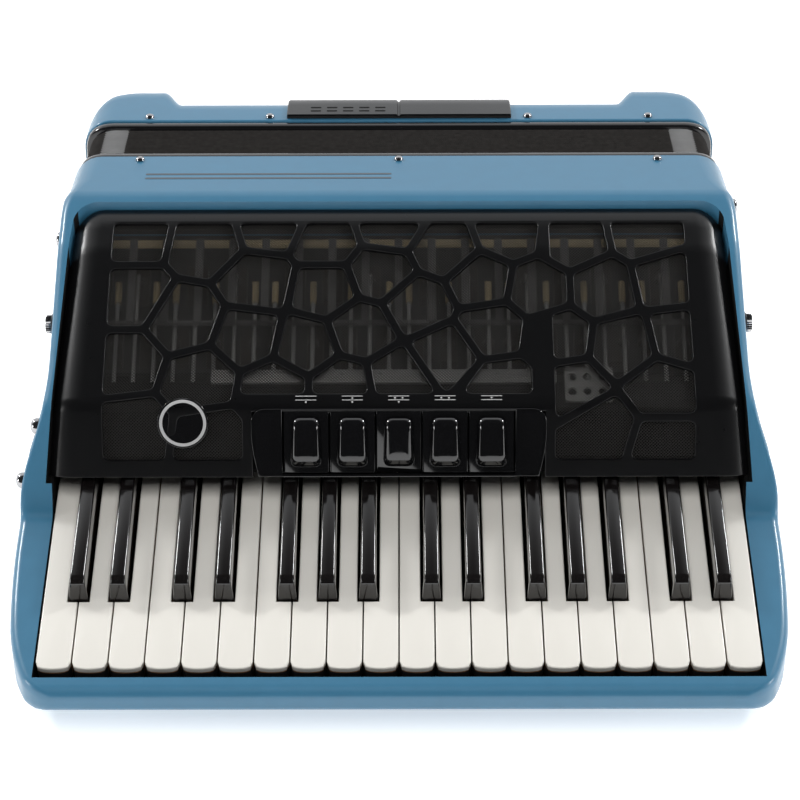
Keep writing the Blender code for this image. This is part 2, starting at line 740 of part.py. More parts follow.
def bellows_strap(name, side):
    """A leather tab from a screw on the treble side to a stud on the bass side."""
    outline = rounded([(0.120, 0.035), (0.234, 0.035), (0.234, 0.055), (0.120, 0.055)], 0.008, 3)
    low, high = sorted((side * (CASE_HALF + GAP), side * (CASE_HALF + 0.0028)))
    obj = prism(name, outline, low, high, along_x, LEATHER)
    hinge(obj, (side * (CASE_HALF + 0.0015), 0.130, 0.045))


# ---------------------------------------------------------------- bass side
def bass_end(x):
    """Outermost Y of the bass casing at x, and the radius of its front edge there."""
    horn = smooth_step((abs(x) - HORN_X[0]) / (HORN_X[1] - HORN_X[0]))
    end = BASS_MID_Y + (BASS_HORN_Y - BASS_MID_Y) * horn
    radius = BASS_MID_R + (BASS_HORN_R - BASS_MID_R) * horn
    into = abs(x) - (CASE_HALF - 0.030)
    if into > 0:
        end -= 0.030 - sqrt(max(0.030 ** 2 - into * into, 0.0))
    return end, radius


def bass_section(x, inset=0.0, steps=6):
    """The casing's outline seen from the end, with a round front edge and a small back edge."""
    end, radius = bass_end(x)
    top = FRONT_Z - corner_drop(x, CORNER_R)
    back = 0.010
    points = [(BASS_Y, 0.0)]
    for k in range(steps // 2 + 1):
        a = -pi / 2 + pi / 2 * k / (steps // 2)
        points.append((end - back + back * cos(a), back + back * sin(a)))
    for k in range(steps + 1):
        a = pi / 2 * k / steps
        points.append((end - radius + radius * cos(a), top - radius + radius * sin(a)))
    points.append((BASS_Y, top))
    return [(x, y, z) for y, z in points]


def bass_casing():
    corner = edge_stations(CASE_HALF, 0.030, 6)
    bends = [side * (HORN_X[0] + (HORN_X[1] - HORN_X[0]) * k / 6) for k in range(7) for side in (-1, 1)]
    stations = sorted(set(corner + bends))
    obj = loft("bass_casing", [bass_section(x) for x in stations], BLUE)
    inner = CASE_HALF - WALL
    hollow = [(0.200, SKIN), (0.245, SKIN), (0.245, 0.150), (0.225, 0.176), (0.200, 0.176)]
    combine(obj, prism("hollow", hollow, -inner, inner, along_x))
    combine(obj, box("vent", (-0.060, 0.060), (0.212, 0.222), (0.17, 0.20)))
    combine(obj, box("button_window", (-0.106, 0.106), (0.24, 0.26), (0.014, 0.084)))
    combine(obj, prism("air_hole", disc(AIR_X, AIR_Z, 0.0058, 10), 0.24, 0.26, along_y))
    combine(obj, box("wheel_slot", (-0.20, -0.165), (0.2325, 0.2395), (0.094, 0.118)))
    smooth(obj)


def disc(x, z, radius, sides):
    turns = [2 * pi * k / sides for k in range(sides)]
    return [(x + radius * cos(a), z + radius * sin(a)) for a in turns]


def bass_grille():
    """Two vent pads on one backing, which follow the casing's round front edge."""
    def section(x, thick):
        steps = 6
        inner_r, outer_r = BASS_MID_R + GAP, BASS_MID_R + thick
        centre = (BASS_MID_Y - BASS_MID_R, FRONT_Z - BASS_MID_R)
        arc = [pi / 2 * (1 - k / steps * 0.9) for k in range(steps + 1)]
        outer = [(centre[0] + outer_r * cos(a), centre[1] + outer_r * sin(a)) for a in arc]
        inner = [(centre[0] + inner_r * cos(a), centre[1] + inner_r * sin(a)) for a in reversed(arc)]
        start = [(0.2086, FRONT_Z + GAP), (0.2086, FRONT_Z + thick)]
        return [(x, y, z) for y, z in start + outer + inner]

    pads = [(-0.0659, 0.005), (-0.0006, 0.005), (-0.0005, 0.002), (0.0005, 0.002), (0.0006, 0.005),
            (0.0662, 0.005)]
    smooth(loft("bass_grille", [section(x, t) for x, t in pads], SATIN), 40)


def button_places():
    wide, tall = BUTTON_PITCH
    middle = sum(PANEL_Z) / 2
    for row in range(BUTTON_ROWS):
        shift = (row - (BUTTON_ROWS - 1) / 2) * 0.0016
        for column in range(BUTTON_COLUMNS):
            yield ((column - (BUTTON_COLUMNS - 1) / 2) * wide + shift,
                   middle + (row - (BUTTON_ROWS - 1) / 2) * tall)


def bass_button_panel():
    low, high = PANEL_Z
    outline = rounded([(-0.110, low), (0.110, low), (0.110, high), (-0.110, high)], 0.004, 2)
    holes = [disc(x, z, BUTTON_R + 0.0008, 6) for x, z in button_places()]
    holed("bass_button_panel", outline, holes, [], BASS_MID_Y + GAP, BASS_MID_Y + 0.003, along_y, SATIN)


def nearest(verts, point):
    return min(verts, key=lambda v: (v.co.x - point.x) ** 2 + (v.co.z - point.z) ** 2)


def bass_buttons():
    """Seventy-two button stems that stand on one carrier behind the panel."""
    back, face, tip = 0.2385, 0.2410, 0.2575
    low, high = 0.0165, 0.0815
    outline = [(-0.103, low), (0.103, low), (0.103, high), (-0.103, high)]
    obj = holed("bass_buttons", outline, [disc(x, z, BUTTON_R, 6) for x, z in button_places()], [],
                back, face, along_y, BUTTON)
    bm = bmesh.new()
    bm.from_mesh(obj.data)
    for x, z in button_places():
        mouth = [v for v in bm.verts if (v.co.x - x) ** 2 + (v.co.z - z) ** 2 < (BUTTON_R * 1.01) ** 2]
        walls = [f for f in bm.faces if all(v in mouth for v in f.verts)]
        bmesh.ops.delete(bm, geom=walls, context="FACES_ONLY")
        ring = [Vector((px, 0, pz)) for px, pz in disc(x, z, BUTTON_R, 6)]
        split = (back + face) / 2
        rear = [nearest([v for v in mouth if v.co.y < split], p) for p in ring]
        front = [nearest([v for v in mouth if v.co.y > split], p) for p in ring]
        ends = [bm.verts.new((p.x, tip, p.z)) for p in ring]
        bm.faces.new(rear)
        bm.faces.new(ends)
        for k in range(6):
            bm.faces.new((front[k], front[k - 1], ends[k - 1], ends[k]))
    loose = [e for e in bm.edges if not e.link_faces]
    bmesh.ops.delete(bm, geom=loose, context="EDGES")
    bmesh.ops.recalc_face_normals(bm, faces=bm.faces)
    bm.to_mesh(obj.data)
    bm.free()


def air_button():
    smooth(prism("air_button", disc(AIR_X, AIR_Z, 0.0052, 12), 0.2400, 0.2560, along_y, BUTTON))


def bass_reed_block():
    cells = []
    for i in range(12):
        x = (i - 5.5) * 0.022
        cells.append([(x - 0.007, 0.040), (x + 0.007, 0.040), (x + 0.007, 0.130), (x - 0.007, 0.130)])
    outline = [(-0.142, 0.030), (0.142, 0.030), (0.142, 0.140), (-0.142, 0.140)]
    holed("bass_reed_block", outline, cells, [], 0.210, 0.232, along_y, PALE_WOOD)


def bass_strap():
    """The hand strap: flat tabs on the casing and a bow that leaves room for the hand."""
    tab, end = 0.112, 0.128
    steps = 16
    line = [(-end, 0.0)] + [(-tab * cos(pi * k / steps), STRAP_BOW * sin(pi * k / steps) ** 1.2)
                            for k in range(steps + 1)] + [(end, 0.0)]
    sections = []
    for i, (x, rise) in enumerate(line):
        before, after = line[max(i - 1, 0)], line[min(i + 1, len(line) - 1)]
        along = Vector((after[0] - before[0], after[1] - before[1])).normalized()
        y = BASS_MID_Y + GAP + rise
        out = (x - along.y * 0.003, y + along.x * 0.003)
        sections.append([(x, y, STRAP_Z[0]), (*out, STRAP_Z[0]), (*out, STRAP_Z[1]), (x, y, STRAP_Z[1])])
    smooth(loft("bass_strap", sections, LEATHER), 50)


def strap_wheel():
    """The knurled thumbwheel that draws the hand strap in."""
    x, y, z = WHEEL
    rim = []
    for k in range(36):
        radius = WHEEL_R if k % 2 else WHEEL_R - 0.0005
        rim.append((x + radius * cos(k * pi / 18), z + radius * sin(k * pi / 18)))
    obj = prism("strap_wheel", rim, y - 0.0025, y + 0.0025, along_y, SATIN)
    hinge(obj, WHEEL)


# ---------------------------------------------------------------- assembly
def centre_on_origin():
    """Moves everything along Y so that the origin is under the middle of the box."""
    bpy.context.view_layer.update()
    ys = [(o.matrix_world @ v.co).y for o in bpy.data.objects for v in o.data.vertices]
    middle = round((min(ys) + max(ys)) / 2, 4)
    for obj in bpy.data.objects:
        obj.location.y -= middle


def main():
    for obj in list(bpy.data.objects):
        bpy.data.objects.remove(obj)
    keyboard()
    fingerboard()
    key_rod()
    treble_casing()
    treble_soundboard()
    treble_reed_block()
    grille_cover()
    grille_mesh()
    register_housing()
    for i in range(REGISTERS):
        register_switch(i)
    bellows_frame("bellows_frame_treble", CASE_Y[1] + GAP)
    bellows()
    bellows_frame("bellows_frame_bass", BASS_Y - GAP - FRAME_T)
    bellows_strap("bellows_strap_top", -1)
    bellows_strap("bellows_strap_bottom", 1)
    bass_casing()
    bass_grille()
    bass_button_panel()
    bass_buttons()
    air_button()
    bass_reed_block()
    bass_strap()
    strap_wheel()
    centre_on_origin()


COVER_LINE = cover_line()
main()
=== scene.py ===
"""Looks of the piano accordion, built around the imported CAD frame.

Shapes are drawn in the keyboard's own frame, with Y = 0 where the key tops pass under the cover, and
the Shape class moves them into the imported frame.
"""
from math import cos, pi, radians, sin, sqrt, tan

import bmesh
import bpy
from mathutils import Matrix, Vector
from mathutils.geometry import delaunay_2d_cdt

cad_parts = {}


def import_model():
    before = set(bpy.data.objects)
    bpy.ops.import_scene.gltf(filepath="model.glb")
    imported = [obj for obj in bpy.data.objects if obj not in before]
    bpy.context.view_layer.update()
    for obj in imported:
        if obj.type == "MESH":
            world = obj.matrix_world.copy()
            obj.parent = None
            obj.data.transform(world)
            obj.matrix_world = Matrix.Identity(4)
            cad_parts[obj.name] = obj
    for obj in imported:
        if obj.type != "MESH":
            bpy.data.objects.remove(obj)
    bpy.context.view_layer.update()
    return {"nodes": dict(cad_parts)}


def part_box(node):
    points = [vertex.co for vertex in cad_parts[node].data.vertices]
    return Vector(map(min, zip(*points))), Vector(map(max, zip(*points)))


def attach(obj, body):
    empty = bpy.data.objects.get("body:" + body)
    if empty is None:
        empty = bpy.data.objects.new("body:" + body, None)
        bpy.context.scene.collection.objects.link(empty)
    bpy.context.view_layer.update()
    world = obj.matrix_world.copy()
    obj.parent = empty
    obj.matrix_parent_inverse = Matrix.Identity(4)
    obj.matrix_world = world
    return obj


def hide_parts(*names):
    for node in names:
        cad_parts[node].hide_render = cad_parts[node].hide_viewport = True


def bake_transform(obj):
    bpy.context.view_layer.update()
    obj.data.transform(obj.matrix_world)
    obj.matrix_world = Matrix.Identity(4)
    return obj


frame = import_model()

# ---------------------------------------------------------------- driving dimensions
CASE_Y = (0.036, 0.158)
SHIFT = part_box("treble_casing")[0].y - CASE_Y[0]
GAP = 0.0003

WHITE_PITCH = 0.0183
WHITE_NAMES = "GABCDEFGABCDEFGABCDE"
BLACK_AFTER = {"G": 0.0, "A": 0.0025, "C": -0.0016, "D": 0.0016, "F": -0.0025}
KEY_GAP = 0.0007
KEY_SLOPE = radians(16)
KEY_DATUM_Z = 0.0722
KEY_LENGTH = 0.1243
KEY_DEPTH = 0.0115
IVORY_T, IVORY_LIP = 0.0024, 0.0042
BLACK_LENGTH, BLACK_HEIGHT = 0.082, 0.012
BLACK_WIDTH, BLACK_TOP_WIDTH = 0.0097, 0.0074
BLACK_CLEARANCE = 0.0008
ROD_S, ROD_H, ROD_R = -0.020, -0.008, 0.0014
TAIL_END = -0.031

FRONT_Z = 0.185
CASE_HALF = 0.186
CORNER_R = 0.017
WALL, SKIN = 0.008, 0.006
STRIP_Y, LIP_Y = 0.112, 0.1068
RIM = [(0.079, 0.170), (-0.003, 0.119)]
RIM_FOOT = -0.0255
BED_FRONT, BED_UNDER = 0.1335, 0.0197
TRAY_END, TRAY_FLOOR = 0.1295, -0.0172
TRAY_STEP = (0.0196, 0.0140)    # where the tray's open part ends, and its height under the cover
SEAT_FRONT = -0.0188
BED_HALF = 0.2010

COVER_PROFILE = [(0.1066, 0.18067), (0.079, 0.1682), (-0.003, 0.1205), (-0.0185, 0.0843)]
COVER_BEND_R = (0.060, 0.014)
COVER_HALF = [(0.1066, 0.1778), (-0.003, 0.1820), (-0.0185, 0.1860)]
COVER_T, COVER_EDGE_R, COVER_EDGE_DROP, COVER_LAST_TURN = 0.002, 0.016, 0.009, 1.45
COVER_TOP_RISE = 0.0045        # how much less the top edge drops than the side edges
COVER_CORNER = 0.016           # of its two upper corners, seen square on

SOUNDBOARD = ((0.036, 0.104), (0.150, 0.1785))
LEVER_LIFT = 0.010
WHITE_PALLET_Y, BLACK_PALLET_Y = 0.056, 0.088
WHITE_PALLET, BLACK_PALLET = 0.0095, 0.012
PALLET_LENGTH, PALLET_T = 0.0185, 0.004
LEVER_LIMIT = 0.1745

FRAME_T, FRAME_HALF = 0.0060, 0.1845
BELLOWS_Y = (0.1646, 0.1977)
FOLDS, BELLOWS_HALF = 12, 0.1823
FOLD_DEPTH, BELLOWS_LOW, FOLD_SHOULDER = 0.0085, 0.0022, 0.22
BASS_Y = 0.2051
BASS_MID_Y, BASS_HORN_Y = 0.250, 0.2716
BASS_MID_R, BASS_HORN_R = 0.030, 0.035
HORN_X = (0.130, 0.142)

REGISTERS = 5
REGISTER_PITCH, REGISTER_LENGTH = 0.0244, 0.031
REGISTER_BAY, REGISTER_TOP = 0.0765, -0.0060
PLATE_TOP = -0.0036
TABLET = (0.0172, 0.0272, 0.006)
PRESSED, PRESS_ANGLE = 2, radians(5)

BUTTON_COLUMNS, BUTTON_ROWS = 12, 6
BUTTON_PITCH, BUTTON_R = (0.0165, 0.0115), 0.0037
PANEL_Z = (0.010, 0.088)
STRAP_Z, STRAP_BOW = (0.092, 0.150), 0.034
AIR_X, AIR_Z = -0.122, 0.060
WHEEL, WHEEL_R = (-0.179, 0.236, 0.106), 0.011

# Each seed (u, w), in millimetres across and up the slope, owns the ground that is nearest to it.
LATTICE_SEEDS = [
    (-145, 105), (-105, 100), (-70, 110), (-40, 100), (-5, 110),
    (25, 95), (60, 105), (95, 100), (135, 105),
    (-145, 65), (-115, 50), (-75, 75), (-40, 70), (-10, 80),
    (10, 60), (45, 75), (75, 70), (110, 70), (145, 75),
    (-80, 40), (-50, 35), (-20, 45), (25, 30), (50, 45), (85, 40), (120, 35), (150, 40),
    (-145, 25), (-105, 15), (-65, 10), (-30, 10), (0, 15), (55, 10), (90, 10), (140, 10),
    (-140, -15), (-100, -20), (105, -15), (140, -25),
]
LATTICE_BAR = 0.0045
LATTICE_SIDE, LATTICE_TOP, LATTICE_LOW = 0.156, 0.113, -0.030
LATTICE_CORNER = 0.0035
BAY_MARGIN = 0.006
SHORTEST_EDGE = 0.003
PIN = (0.0026, 0.0017, 0.0006)  # radius, height and foot of a chrome pin's dome
BUMP_DISTANCE = 0.0002


# ---------------------------------------------------------------- materials
def set_values(node, values):
    for socket, value in values.items():
        node.inputs[socket].default_value = value


def finish(name, colour, rough, metal=0.0, coat=0.0, coat_rough=0.05, grain=(400, 0.1), vary=0.08,
           stretch=(1, 1, 1), kind="NOISE", sheen=0.0, level=0.5):
    """A procedural finish: colour and roughness vary with a noise, and a finer one gives the bump."""
    mat = bpy.data.materials.new(name)
    mat.use_nodes = True
    nodes, links = mat.node_tree.nodes, mat.node_tree.links
    shader = nodes["Principled BSDF"]
    place = nodes.new("ShaderNodeTexCoord")
    scale = nodes.new("ShaderNodeMapping")
    set_values(scale, {"Scale": stretch})
    links.new(place.outputs["Object"], scale.inputs["Vector"])
    broad = nodes.new("ShaderNodeTexNoise")
    set_values(broad, {"Scale": grain[0] / 8, "Detail": 4})
    links.new(scale.outputs["Vector"], broad.inputs["Vector"])
    tint = nodes.new("ShaderNodeValToRGB")
    tint.color_ramp.elements[0].position = 0.3
    tint.color_ramp.elements[1].position = 0.7
    tint.color_ramp.elements[0].color = (*[c * (1 - vary) for c in colour], 1)
    tint.color_ramp.elements[1].color = (*[min(c * (1 + vary), 1) for c in colour], 1)
    links.new(broad.outputs["Fac"], tint.inputs["Fac"])
    links.new(tint.outputs["Color"], shader.inputs["Base Color"])
    spread = nodes.new("ShaderNodeMapRange")
    set_values(spread, {"To Min": rough * (1 - vary), "To Max": min(rough * (1 + vary), 1)})
    links.new(broad.outputs["Fac"], spread.inputs["Value"])
    links.new(spread.outputs["Result"], shader.inputs["Roughness"])
    fine = nodes.new("ShaderNodeTexVoronoi" if kind == "VORONOI" else "ShaderNodeTexNoise")
    set_values(fine, {"Scale": grain[0]})
    links.new(scale.outputs["Vector"], fine.inputs["Vector"])
    bump = nodes.new("ShaderNodeBump")
    set_values(bump, {"Strength": grain[1], "Distance": BUMP_DISTANCE})
    links.new(fine.outputs[0], bump.inputs["Height"])
    links.new(bump.outputs["Normal"], shader.inputs["Normal"])
    set_values(shader, {"Metallic": metal, "Coat Weight": coat, "Coat Roughness": coat_rough,
                        "Sheen Weight": sheen, "Specular IOR Level": level})
    return mat


PAINT = finish("blue_lacquer", (0.040, 0.158, 0.265), 0.42, coat=0.35, coat_rough=0.12, grain=(900, 0.04),
               vary=0.03)
IVORY = finish("ivory_covering", (0.76, 0.735, 0.68), 0.28, coat=0.2, grain=(2400, 0.01), vary=0.003)
KEY_WOOD = finish("key_wood", (0.30, 0.15, 0.065), 0.6, grain=(500, 0.3), vary=0.25, stretch=(1, 0.08, 1))
EBONY = finish("black_key_plastic", (0.006, 0.005, 0.005), 0.12, coat=0.6, grain=(200, 0.02), vary=0.1)
GLOSS = finish("piano_black", (0.0035, 0.0035, 0.004), 0.07, coat=0.5, coat_rough=0.03, grain=(150, 0.01),
               vary=0.1)
COVER_BLACK = finish("moulded_black", (0.0030, 0.0030, 0.0034), 0.28, grain=(1200, 0.01), vary=0.05,
                     level=0.42)
LINING = finish("black_lining", (0.006, 0.006, 0.006), 0.8, grain=(1500, 0.3), vary=0.1, level=0.15)
SATIN = finish("satin_black", (0.014, 0.014, 0.015), 0.38, grain=(1500, 0.25), vary=0.1)
SCREEN = finish("screen_wire", (0.024, 0.023, 0.022), 0.5, grain=(2500, 0.2), vary=0.1, level=0.3)
CHROME = finish("chrome", (0.40, 0.40, 0.41), 0.16, metal=1.0, grain=(900, 0.03), vary=0.04)
PALE_WOOD = finish("spruce", (0.42, 0.30, 0.17), 0.6, grain=(700, 0.35), vary=0.2, stretch=(0.06, 1, 1))
TIP_WOOD = finish("tip_wood", (0.66, 0.52, 0.30), 0.6, grain=(700, 0.2), vary=0.15, stretch=(1, 0.1, 1))
# Painted shade: the soundboard gets a dark grey-brown in place of pale wood, for the dim inside of the
# casing seen through the screen.
DARK_BOARD = finish("soundboard_painted_shade", (0.035, 0.033, 0.031), 0.5, grain=(500, 0.2), vary=0.2)
LEVER = finish("lever_rod", (0.60, 0.59, 0.57), 0.35, metal=0.35, grain=(900, 0.05), vary=0.05)
GREY_BAR = finish("grey_bar", (0.16, 0.155, 0.15), 0.5, grain=(900, 0.2), vary=0.15)
# Painted shade: the pallets' felt is darkened well below its own beige, for the dim inside of the casing.
FELT = finish("pallet_felt_darkened_for_shade", (0.045, 0.036, 0.028), 0.9, grain=(2500, 0.8), vary=0.15, sheen=0.4)
CARD = finish("bellows_cloth", (0.045, 0.042, 0.040), 0.7, grain=(2200, 0.5), vary=0.2, kind="VORONOI",
              level=0.3)
CORNER = finish("bellows_corner_metal", (0.54, 0.54, 0.54), 0.5, metal=0.8, grain=(1200, 0.1), vary=0.06)
FRAME_BLACK = finish("frame_lacquer", (0.008, 0.008, 0.009), 0.22, coat=0.4, grain=(300, 0.03), vary=0.1)
LEATHER = finish("grained_leather", (0.016, 0.014, 0.013), 0.55, grain=(900, 0.7), vary=0.2, kind="VORONOI",
                 sheen=0.1)
THREAD = finish("stitching", (0.10, 0.095, 0.09), 0.7, grain=(4000, 0.6), vary=0.15)
BUTTON = finish("button_plastic", (0.72, 0.70, 0.64), 0.2, coat=0.4, grain=(300, 0.02), vary=0.02)
PRINT = finish("grey_print", (0.42, 0.42, 0.42), 0.4, grain=(600, 0.05), vary=0.05)
STRIPE = finish("dark_print", (0.055, 0.070, 0.085), 0.35, grain=(600, 0.05), vary=0.05)


# ---------------------------------------------------------------- shape tools
def along_x(a, b, depth):
    return (depth, a, b)


def along_y(a, b, depth):
    return (a, depth, b)


def along_z(a, b, depth):
    return (a, b, depth)


def smooth_step(t):
    t = min(max(t, 0.0), 1.0)
    return t * t * (3 - 2 * t)


def area(loop):
    return sum(a[0] * b[1] - b[0] * a[1] for a, b in zip(loop, loop[1:] + loop[:1]))


def anticlockwise(loop):
    return list(loop) if area(loop) > 0 else list(loop)[::-1]


def inset(outline, distance):
    """A closed outline moved inwards."""
    sign = 1 if area(outline) > 0 else -1
    out = []
    for i, point in enumerate(outline):
        here = Vector(point)
        before = (here - Vector(outline[i - 1])).normalized()
        after = (Vector(outline[(i + 1) % len(outline)]) - here).normalized()
        normal = Vector((-before.y - after.y, before.x + after.x)) * sign
        out.append(tuple(here + normal * (2 * distance / max(normal.length_squared, 1.0))))
    return out


def rounded(points, radius, steps=4):
    """A closed outline with its corners turned into arcs."""
    out = []
    count = len(points)
    for i, point in enumerate(points):
        here = Vector(point)
        before = Vector(points[i - 1]) - here
        after = Vector(points[(i + 1) % count]) - here
        half = before.angle(after) / 2
        reach = min(radius * cos(half) / sin(half), before.length * 0.45, after.length * 0.45)
        start = here + before.normalized() * reach
        end = here + after.normalized() * reach
        for k in range(steps + 1):
            t = k / steps
            out.append(tuple(start * (1 - t) ** 2 + here * 2 * t * (1 - t) + end * t * t))
    return out


def arc(centre, radius, first, last, steps):
    """Points on a circle, from quarter turn number first to quarter turn number last."""
    turns = [pi / 2 * (first + (last - first) * k / steps) for k in range(steps + 1)]
    return [(centre[0] + radius * cos(a), centre[1] + radius * sin(a)) for a in turns]


def rectangle(low, high):
    return [(low[0], low[1]), (high[0], low[1]), (high[0], high[1]), (low[0], high[1])]


def disc(x, z, radius, sides):
    turns = [2 * pi * k / sides for k in range(sides)]
    return [(x + radius * cos(a), z + radius * sin(a)) for a in turns]


def one_edge(low, high, radius, steps=3):
    """Rings (inset, depth) of a slab whose upper edge is rounded."""
    arc = [pi / 2 * k / steps for k in range(steps + 1)]
    return [(0, low)] + [(radius * (1 - cos(a)), high - radius + radius * sin(a)) for a in arc]


def both_edges(low, high, radius, steps=3):
    upper = one_edge(low, high, radius, steps)[1:]
    middle = (low + high) / 2
    return [(i, 2 * middle - d) for i, d in reversed(upper)] + upper


def bend(points, radii, steps=4):
    """An open line whose inner corners are turned into arcs."""
    line = [Vector(points[0])]
    for i in range(1, len(points) - 1):
        here = Vector(points[i])
        before, after = Vector(points[i - 1]) - here, Vector(points[i + 1]) - here
        half = before.angle(after) / 2
        reach = min(radii[i - 1] * cos(half) / sin(half), before.length * 0.48, after.length * 0.48)
        start, end = here + before.normalized() * reach, here + after.normalized() * reach
        for k in range(steps + 1):
            t = k / steps
            line.append(start * (1 - t) ** 2 + here * 2 * t * (1 - t) + end * t * t)
    line.append(Vector(points[-1]))
    return line


class Shape:
    """Collects closed solids of one or more finishes into one mesh."""

    def __init__(self):
        self.verts, self.faces, self.slots = [], [], []

    def add(self, verts, faces, slot=0):
        start = len(self.verts)
        self.verts += [tuple(v) for v in verts]
        self.faces += [[start + i for i in face] for face in faces]
        self.slots += [slot] * len(faces)

    def loft(self, sections, slot=0, caps=True):
        count = len(sections[0])
        verts = [p for section in sections for p in section]
        faces = [range(count), range(len(verts) - count, len(verts))] if caps else []
        for ring in range(len(sections) - 1):
            for i in range(count):
                j = (i + 1) % count
                low, high = ring * count, (ring + 1) * count
                faces.append((low + i, low + j, high + j, high + i))
        self.add(verts, faces, slot)

    def slab(self, outline, rings, place, slot=0):
        """rings are (inset, depth) from one side of the slab to the other."""
        self.loft([[place(a, b, depth) for a, b in inset(outline, i)] for i, depth in rings], slot)

    def tube(self, points, radius, sides=6, slot=0):
        points = [Vector(p) for p in points]
        sections = []
        for i, point in enumerate(points):
            along = (points[min(i + 1, len(points) - 1)] - points[max(i - 1, 0)]).normalized()
            side = along.cross(Vector((0.31, 0.22, 0.93))).normalized()
            up = along.cross(side)
            sections.append([point + (side * cos(a) + up * sin(a)) * radius
                             for a in (2 * pi * k / sides for k in range(sides))])
        self.loft(sections, slot)

    def dome(self, centre, out, radius, height, foot=0.0, slot=0, sides=20, steps=5):
        """A low dome on a short foot; out is the direction it stands in."""
        out = Vector(out).normalized()
        side = out.orthogonal().normalized()
        up = out.cross(side)
        rings = [(radius, 0.0)] + [(radius * cos(a), foot + height * sin(a))
                                   for a in (pi / 2 * k / steps * 0.97 for k in range(steps + 1))]
        centre = Vector(centre)
        self.loft([[centre + out * d + (side * cos(a) + up * sin(a)) * r
                    for a in (2 * pi * k / sides for k in range(sides))] for r, d in rings], slot)

    def plate(self, outline, holes, guides, thick, edge, place, slot=0, edge_steps=3):
        """A plate with holes whose front edges are all rounded; place(u, w, depth) bends it."""
        points, loops, edges = [], [], []
        for loop in [anticlockwise(line) for line in [outline] + holes]:
            loops.append(list(range(len(points), len(points) + len(loop))))
            points += [Vector(p) for p in loop]
        for line in guides:
            first = len(points)
            points += [Vector(p) for p in line]
            edges += [(first + i, first + i + 1) for i in range(len(line) - 1)]
        flat, _, faces, _, _, sources = delaunay_2d_cdt(points, edges, loops, 0, 1e-7)
        kept = [f for f, source in zip(faces, sources) if source == [0]]
        sides = {(f[i - 1], f[i]) for f in kept for i in range(len(f))}
        border = [(a, b) for a, b in sides if (b, a) not in sides]
        after = dict(border)
        before = {b: a for a, b in border}
        inward = {}
        for i in after:
            come = (flat[i] - flat[before[i]]).normalized()
            go = (flat[after[i]] - flat[i]).normalized()
            inward[i] = Vector((-come.y - go.y, come.x + go.x))
            inward[i] *= 2 / max(inward[i].length_squared, 1.0)
        rings = [(edge * (1 - sin(a)), -edge * (1 - cos(a)))
                 for a in (pi / 2 * k / edge_steps for k in range(edge_steps + 1))] if edge else [(0.0, 0.0)]
        rings.append((0.0, -thick))
        used = sorted({i for f in kept for i in f})
        index = {old: new for new, old in enumerate(used)}
        verts, skins, loops = [], [], []
        for move, depth in (rings[0], rings[-1]):
            start = len(verts)
            skins.append({i: start + index[i] for i in used})
            for i in used:
                p = flat[i] + inward.get(i, Vector((0, 0))) * move
                verts.append(place(p.x, p.y, depth))
        for move, depth in rings[1:-1]:
            loops.append({})
            for i in after:
                p = flat[i] + inward[i] * move
                loops[-1][i] = len(verts)
                verts.append(place(p.x, p.y, depth))
        out = [[skins[0][i] for i in f] for f in kept] + [[skins[1][i] for i in reversed(f)] for f in kept]
        stack = [skins[0]] + loops + [skins[1]]
        for upper, lower in zip(stack, stack[1:]):
            out += [(upper[a], lower[a], lower[b], upper[b]) for a, b in border]
        self.add(verts, out, slot)

    def turn(self, pivot, angle):
        """Turns everything so far about an axis along X."""
        spin = Matrix.Rotation(angle, 3, "X")
        pivot = Vector(pivot)
        self.verts = [tuple(pivot + spin @ (Vector(v) - pivot)) for v in self.verts]

    def object(self, name, mats, angle=32, weld=True):
        bm = bmesh.new()
        points = [bm.verts.new((x, y + SHIFT, z)) for x, y, z in self.verts]
        for face, slot in zip(self.faces, self.slots):
            if len(set(face)) > 2:
                bm.faces.new([points[i] for i in face]).material_index = slot
        if weld:
            bmesh.ops.remove_doubles(bm, verts=bm.verts, dist=1e-7)
        bmesh.ops.recalc_face_normals(bm, faces=bm.faces)
        if bm.calc_volume(signed=True) < 0:
            bmesh.ops.reverse_faces(bm, faces=bm.faces)
        mesh = bpy.data.meshes.new(name)
        bm.to_mesh(mesh)
        bm.free()
        for mat in mats:
            mesh.materials.append(mat)
        mesh.shade_smooth()
        mesh.set_sharp_from_angle(angle=radians(angle))
        obj = bpy.data.objects.new(name, mesh)
        bpy.context.scene.collection.objects.link(obj)
        return obj


def cut(obj, shape, lining=None):
    """Cuts a shape out of an object with one exact Boolean; a lining is the cut walls' finish."""
    tool = shape.object("tool", [lining] if lining else [])
    step = obj.modifiers.new("cut", "BOOLEAN")
    step.operation, step.solver, step.object = "DIFFERENCE", "EXACT", tool
    step.material_mode = "TRANSFER" if lining else "INDEX"
    graph = bpy.context.evaluated_depsgraph_get()
    mesh = bpy.data.meshes.new_from_object(obj.evaluated_get(graph))
    obj.modifiers.clear()
    obj.data = mesh
    bpy.data.objects.remove(tool)


def sharpen(obj, angle=32):
    obj.data.shade_smooth()
    obj.data.set_sharp_from_angle(angle=radians(angle))
    weigh = obj.modifiers.new("weighted_normals", "WEIGHTED_NORMAL")
    weigh.keep_sharp = True


def show(obj, body, slot, *nodes):
    """Joins a piece to its body and hides the CAD nodes that it stands for; slot is not used."""
    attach(obj, body)
    if nodes:
        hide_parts(*nodes)


def prism(outline, low, high, place):
    shape = Shape()
    shape.slab(outline, [(0, low), (0, high)], place)
    return shape


# ---------------------------------------------------------------- keyboard
def key_point(x, s, h):
    """s runs out along the keys from the datum line and h stands square to their tops."""
    return (x, -s * cos(KEY_SLOPE) - h * sin(KEY_SLOPE),
            KEY_DATUM_Z - s * sin(KEY_SLOPE) + h * cos(KEY_SLOPE))


def across_key(s, h, x):
    return key_point(x, s, h)


def soundboard_z(y):
    (y0, z0), (y1, z1) = SOUNDBOARD
    return z0 + (y - y0) * (z1 - z0) / (y1 - y0)


